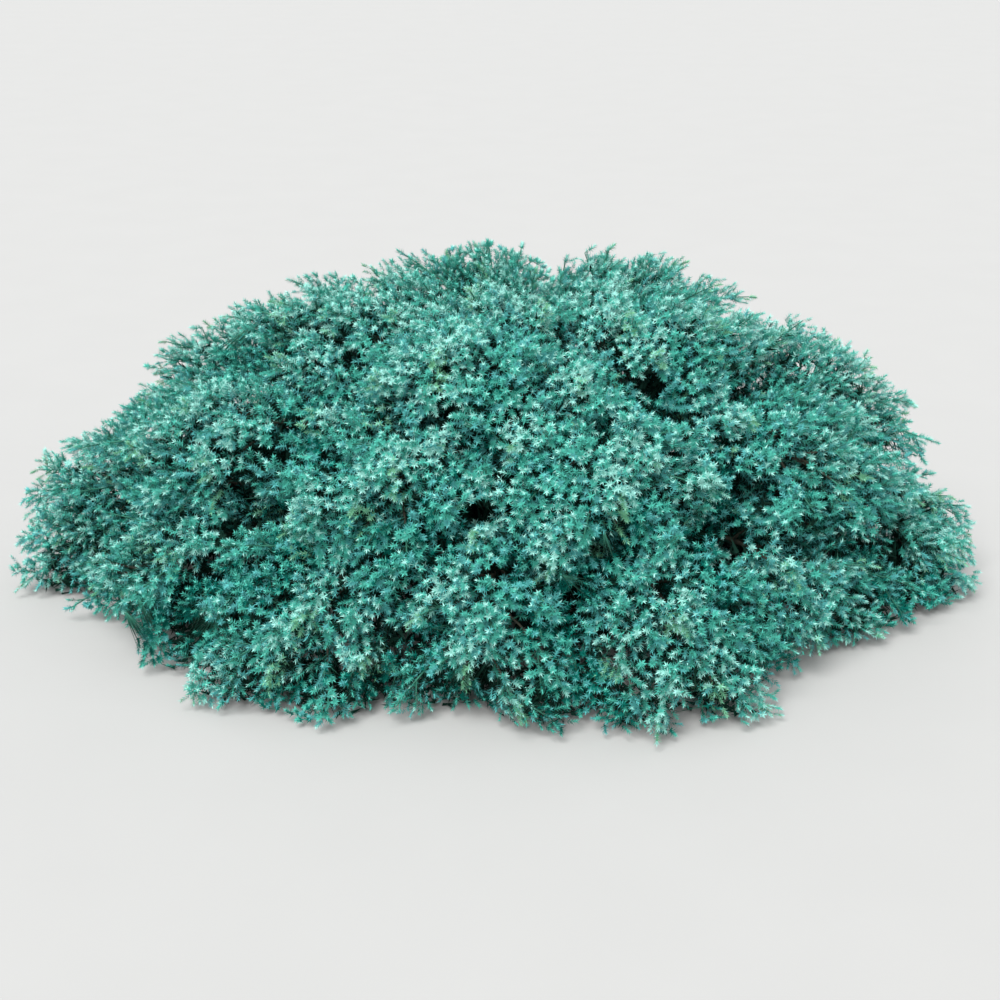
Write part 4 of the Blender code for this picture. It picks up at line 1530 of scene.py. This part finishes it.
class JUNIPER_OT_needles(bpy.types.Operator):
    """Builds the needle whorls of every plume, in pieces of a few plumes each"""

    bl_idname = "juniper.needles"
    bl_label = "Needles"

    PIECES = {
        "needles_skirt_right": ("skirt", (1, 2, 3, 4)),
        "needles_skirt_back": ("skirt", (5, 6, 7, 8)),
        "needles_skirt_left": ("skirt", (9, 10, 11, 12)),
        "needles_flank_right": ("flank", (1, 2, 3, 4, 5)),
        "needles_flank_left": ("flank", (6, 7, 8, 9)),
        "needles_crest": ("crest", (1, 2, 3, 4, 5)),
    }

    def execute(self, context):
        needles = context.scene.juniper_needles
        grown = growth()
        crown, shoots = grown.crown, grown.shoots
        *materials, spent_and_shade_material = [
            needle_material(f"needles_{name}", getattr(needles, name), *finish)
            for name, finish in NEEDLE_FINISHES.items()
        ]
        deep, blue, green, pale, young = range(len(materials))
        names = [plume["name"] for plume in crown.plumes]
        chance = np.random.default_rng(SEEDS["tints"])
        tint = chance.random(len(shoots["owner"]))
        # Green more often where the sky lights a shoot, blue in shade: a painted tint of the light on
        # top of the chance split.
        green_by_chance_and_light = tint < LEAFY_BASE + GREEN_IN_PAINTED_LIGHT * shoots["lit"]
        # Painted light and shade: paler where sky reaches the shoot and on the arrowheads' ridges,
        # darker in shade and in the valleys; the base and the spread are the needles' own bloom.
        bloom_and_painted_light = PAINTED_SKY_LIGHT * shoots["lit"] + PAINTED_RIDGE_LIGHT * shoots["height"] + BLOOM_BASE
        bloom_and_painted_light = bloom_and_painted_light + chance.uniform(*BLOOM_SPREAD, len(tint))
        for name, (tier, numbers) in self.PIECES.items():
            nodes = [f"plume_{tier}_{number:02d}" for number in numbers]
            owners = [names.index(node) for node in nodes]
            rows = np.flatnonzero(np.isin(shoots["owner"], owners))
            full = shoots["full"][rows]
            some = needle_mesh(shoots, rows[full], needles, needles.whorls)
            rest = needle_mesh(shoots, rows[~full], needles, needles.whorls - FEWER_WHORLS)
            shoot, place, luck = (np.concatenate(p) for p in zip(some[2:], rest[2:]))
            slot = np.where(green_by_chance_and_light[shoot], green, blue)
            tone = bloom_and_painted_light[shoot] + TONE_PLACE * place + TONE_LUCK * luck
            # Deep is old needles at a shoot's foot and painted shade; pale is bloom near the tip and
            # painted light.
            slot = np.where(tone < DEEP_BELOW, deep, slot)
            slot = np.where(tone > PALE_ABOVE, pale, slot)
            fresh = shoots["lead"][shoot] > YOUNG_FROM + YOUNG_SPREAD * luck
            slot = np.where(fresh, young, slot)
            piece = mesh_piece(name, *stacked((some, rest)), slot, materials)
            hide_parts(*nodes)
            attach(piece, BODY)
        # The dead needles inside, some larger than life, are coloured near-black as painted shade in
        # the hollows.
        dead = spent_mesh(crown, grown.spent, needles)
        piece = mesh_piece("needles_spent", *dead, materials=[spent_and_shade_material])
        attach(piece, BODY)
        return {"FINISHED"}


class JUNIPER_OT_stage(bpy.types.Operator):
    """Lays the floor and sets the lights and the camera"""

    bl_idname = "juniper.stage"
    bl_label = "Stage"

    def execute(self, context):
        stage = context.scene.juniper_stage
        corners = np.array(((-1, -1, 0), (1, -1, 0), (1, 1, 0), (-1, 1, 0))) * FLOOR_HALF
        floor = mesh_piece(
            "floor", corners, np.array([(0, 1, 2, 3)]),
            materials=[floor_material("floor_finish", stage.floor)],
        )
        data = bpy.data.lights.new("key_light", "SUN")
        data.angle = SUN_ANGLE
        data.energy = stage.key
        key = bpy.data.objects.new("key_light", data)
        key.rotation_euler = Vector(SUN_DIRECTION).to_track_quat("-Z", "Y").to_euler()
        context.scene.collection.objects.link(key)
        world = bpy.data.worlds.new("sky")
        world.use_nodes = True
        back = world.node_tree.nodes["Background"]
        back.inputs["Color"].default_value = SKY_COLOUR
        back.inputs["Strength"].default_value = stage.sky
        context.scene.world = world
        context.scene.view_settings.view_transform = "Standard"
        data = bpy.data.cameras.new("camera")
        data.sensor_width = SENSOR_WIDTH
        data.lens = CAMERA_LENS
        camera = bpy.data.objects.new("camera", data)
        away = Vector((0, -math.cos(CAMERA_ELEVATION), math.sin(CAMERA_ELEVATION)))
        camera.location = Vector(CAMERA_TARGET) + away * CAMERA_DISTANCE
        camera.rotation_euler = (math.pi / 2 - CAMERA_ELEVATION, 0, 0)
        context.scene.collection.objects.link(camera)
        context.scene.camera = camera
        return {"FINISHED"}


class JUNIPER_PT_panel(bpy.types.Panel):
    """The juniper's sizes, colours and pieces"""

    bl_idname = "JUNIPER_PT_panel"
    bl_label = "Blue star juniper"
    bl_space_type = "VIEW_3D"
    bl_region_type = "UI"
    bl_category = "Juniper"

    def draw(self, context):
        for group in (
            context.scene.juniper_needles, context.scene.juniper_bark, context.scene.juniper_stage
        ):
            box = self.layout.box()
            for name in group.__annotations__:
                box.prop(group, name)
        for operator in OPERATORS:
            self.layout.operator(operator.bl_idname)


GROUPS = {
    "juniper_needles": JuniperNeedles,
    "juniper_bark": JuniperBark,
    "juniper_stage": JuniperStage,
}
OPERATORS = (
    JUNIPER_OT_trunk,
    JUNIPER_OT_boughs,
    JUNIPER_OT_twigs,
    JUNIPER_OT_needles,
    JUNIPER_OT_stage,
)


def register():
    for made in (*GROUPS.values(), *OPERATORS, JUNIPER_PT_panel):
        bpy.utils.register_class(made)
    for name, group in GROUPS.items():
        setattr(bpy.types.Scene, name, bpy.props.PointerProperty(type=group))


def unregister():
    for name in GROUPS:
        delattr(bpy.types.Scene, name)
    for made in reversed((*GROUPS.values(), *OPERATORS, JUNIPER_PT_panel)):
        bpy.utils.unregister_class(made)


def main():
    register()
    bpy.ops.juniper.trunk()
    bpy.ops.juniper.boughs()
    bpy.ops.juniper.twigs()
    bpy.ops.juniper.needles()
    bpy.ops.juniper.stage()


if __name__ == "__main__":
    main()
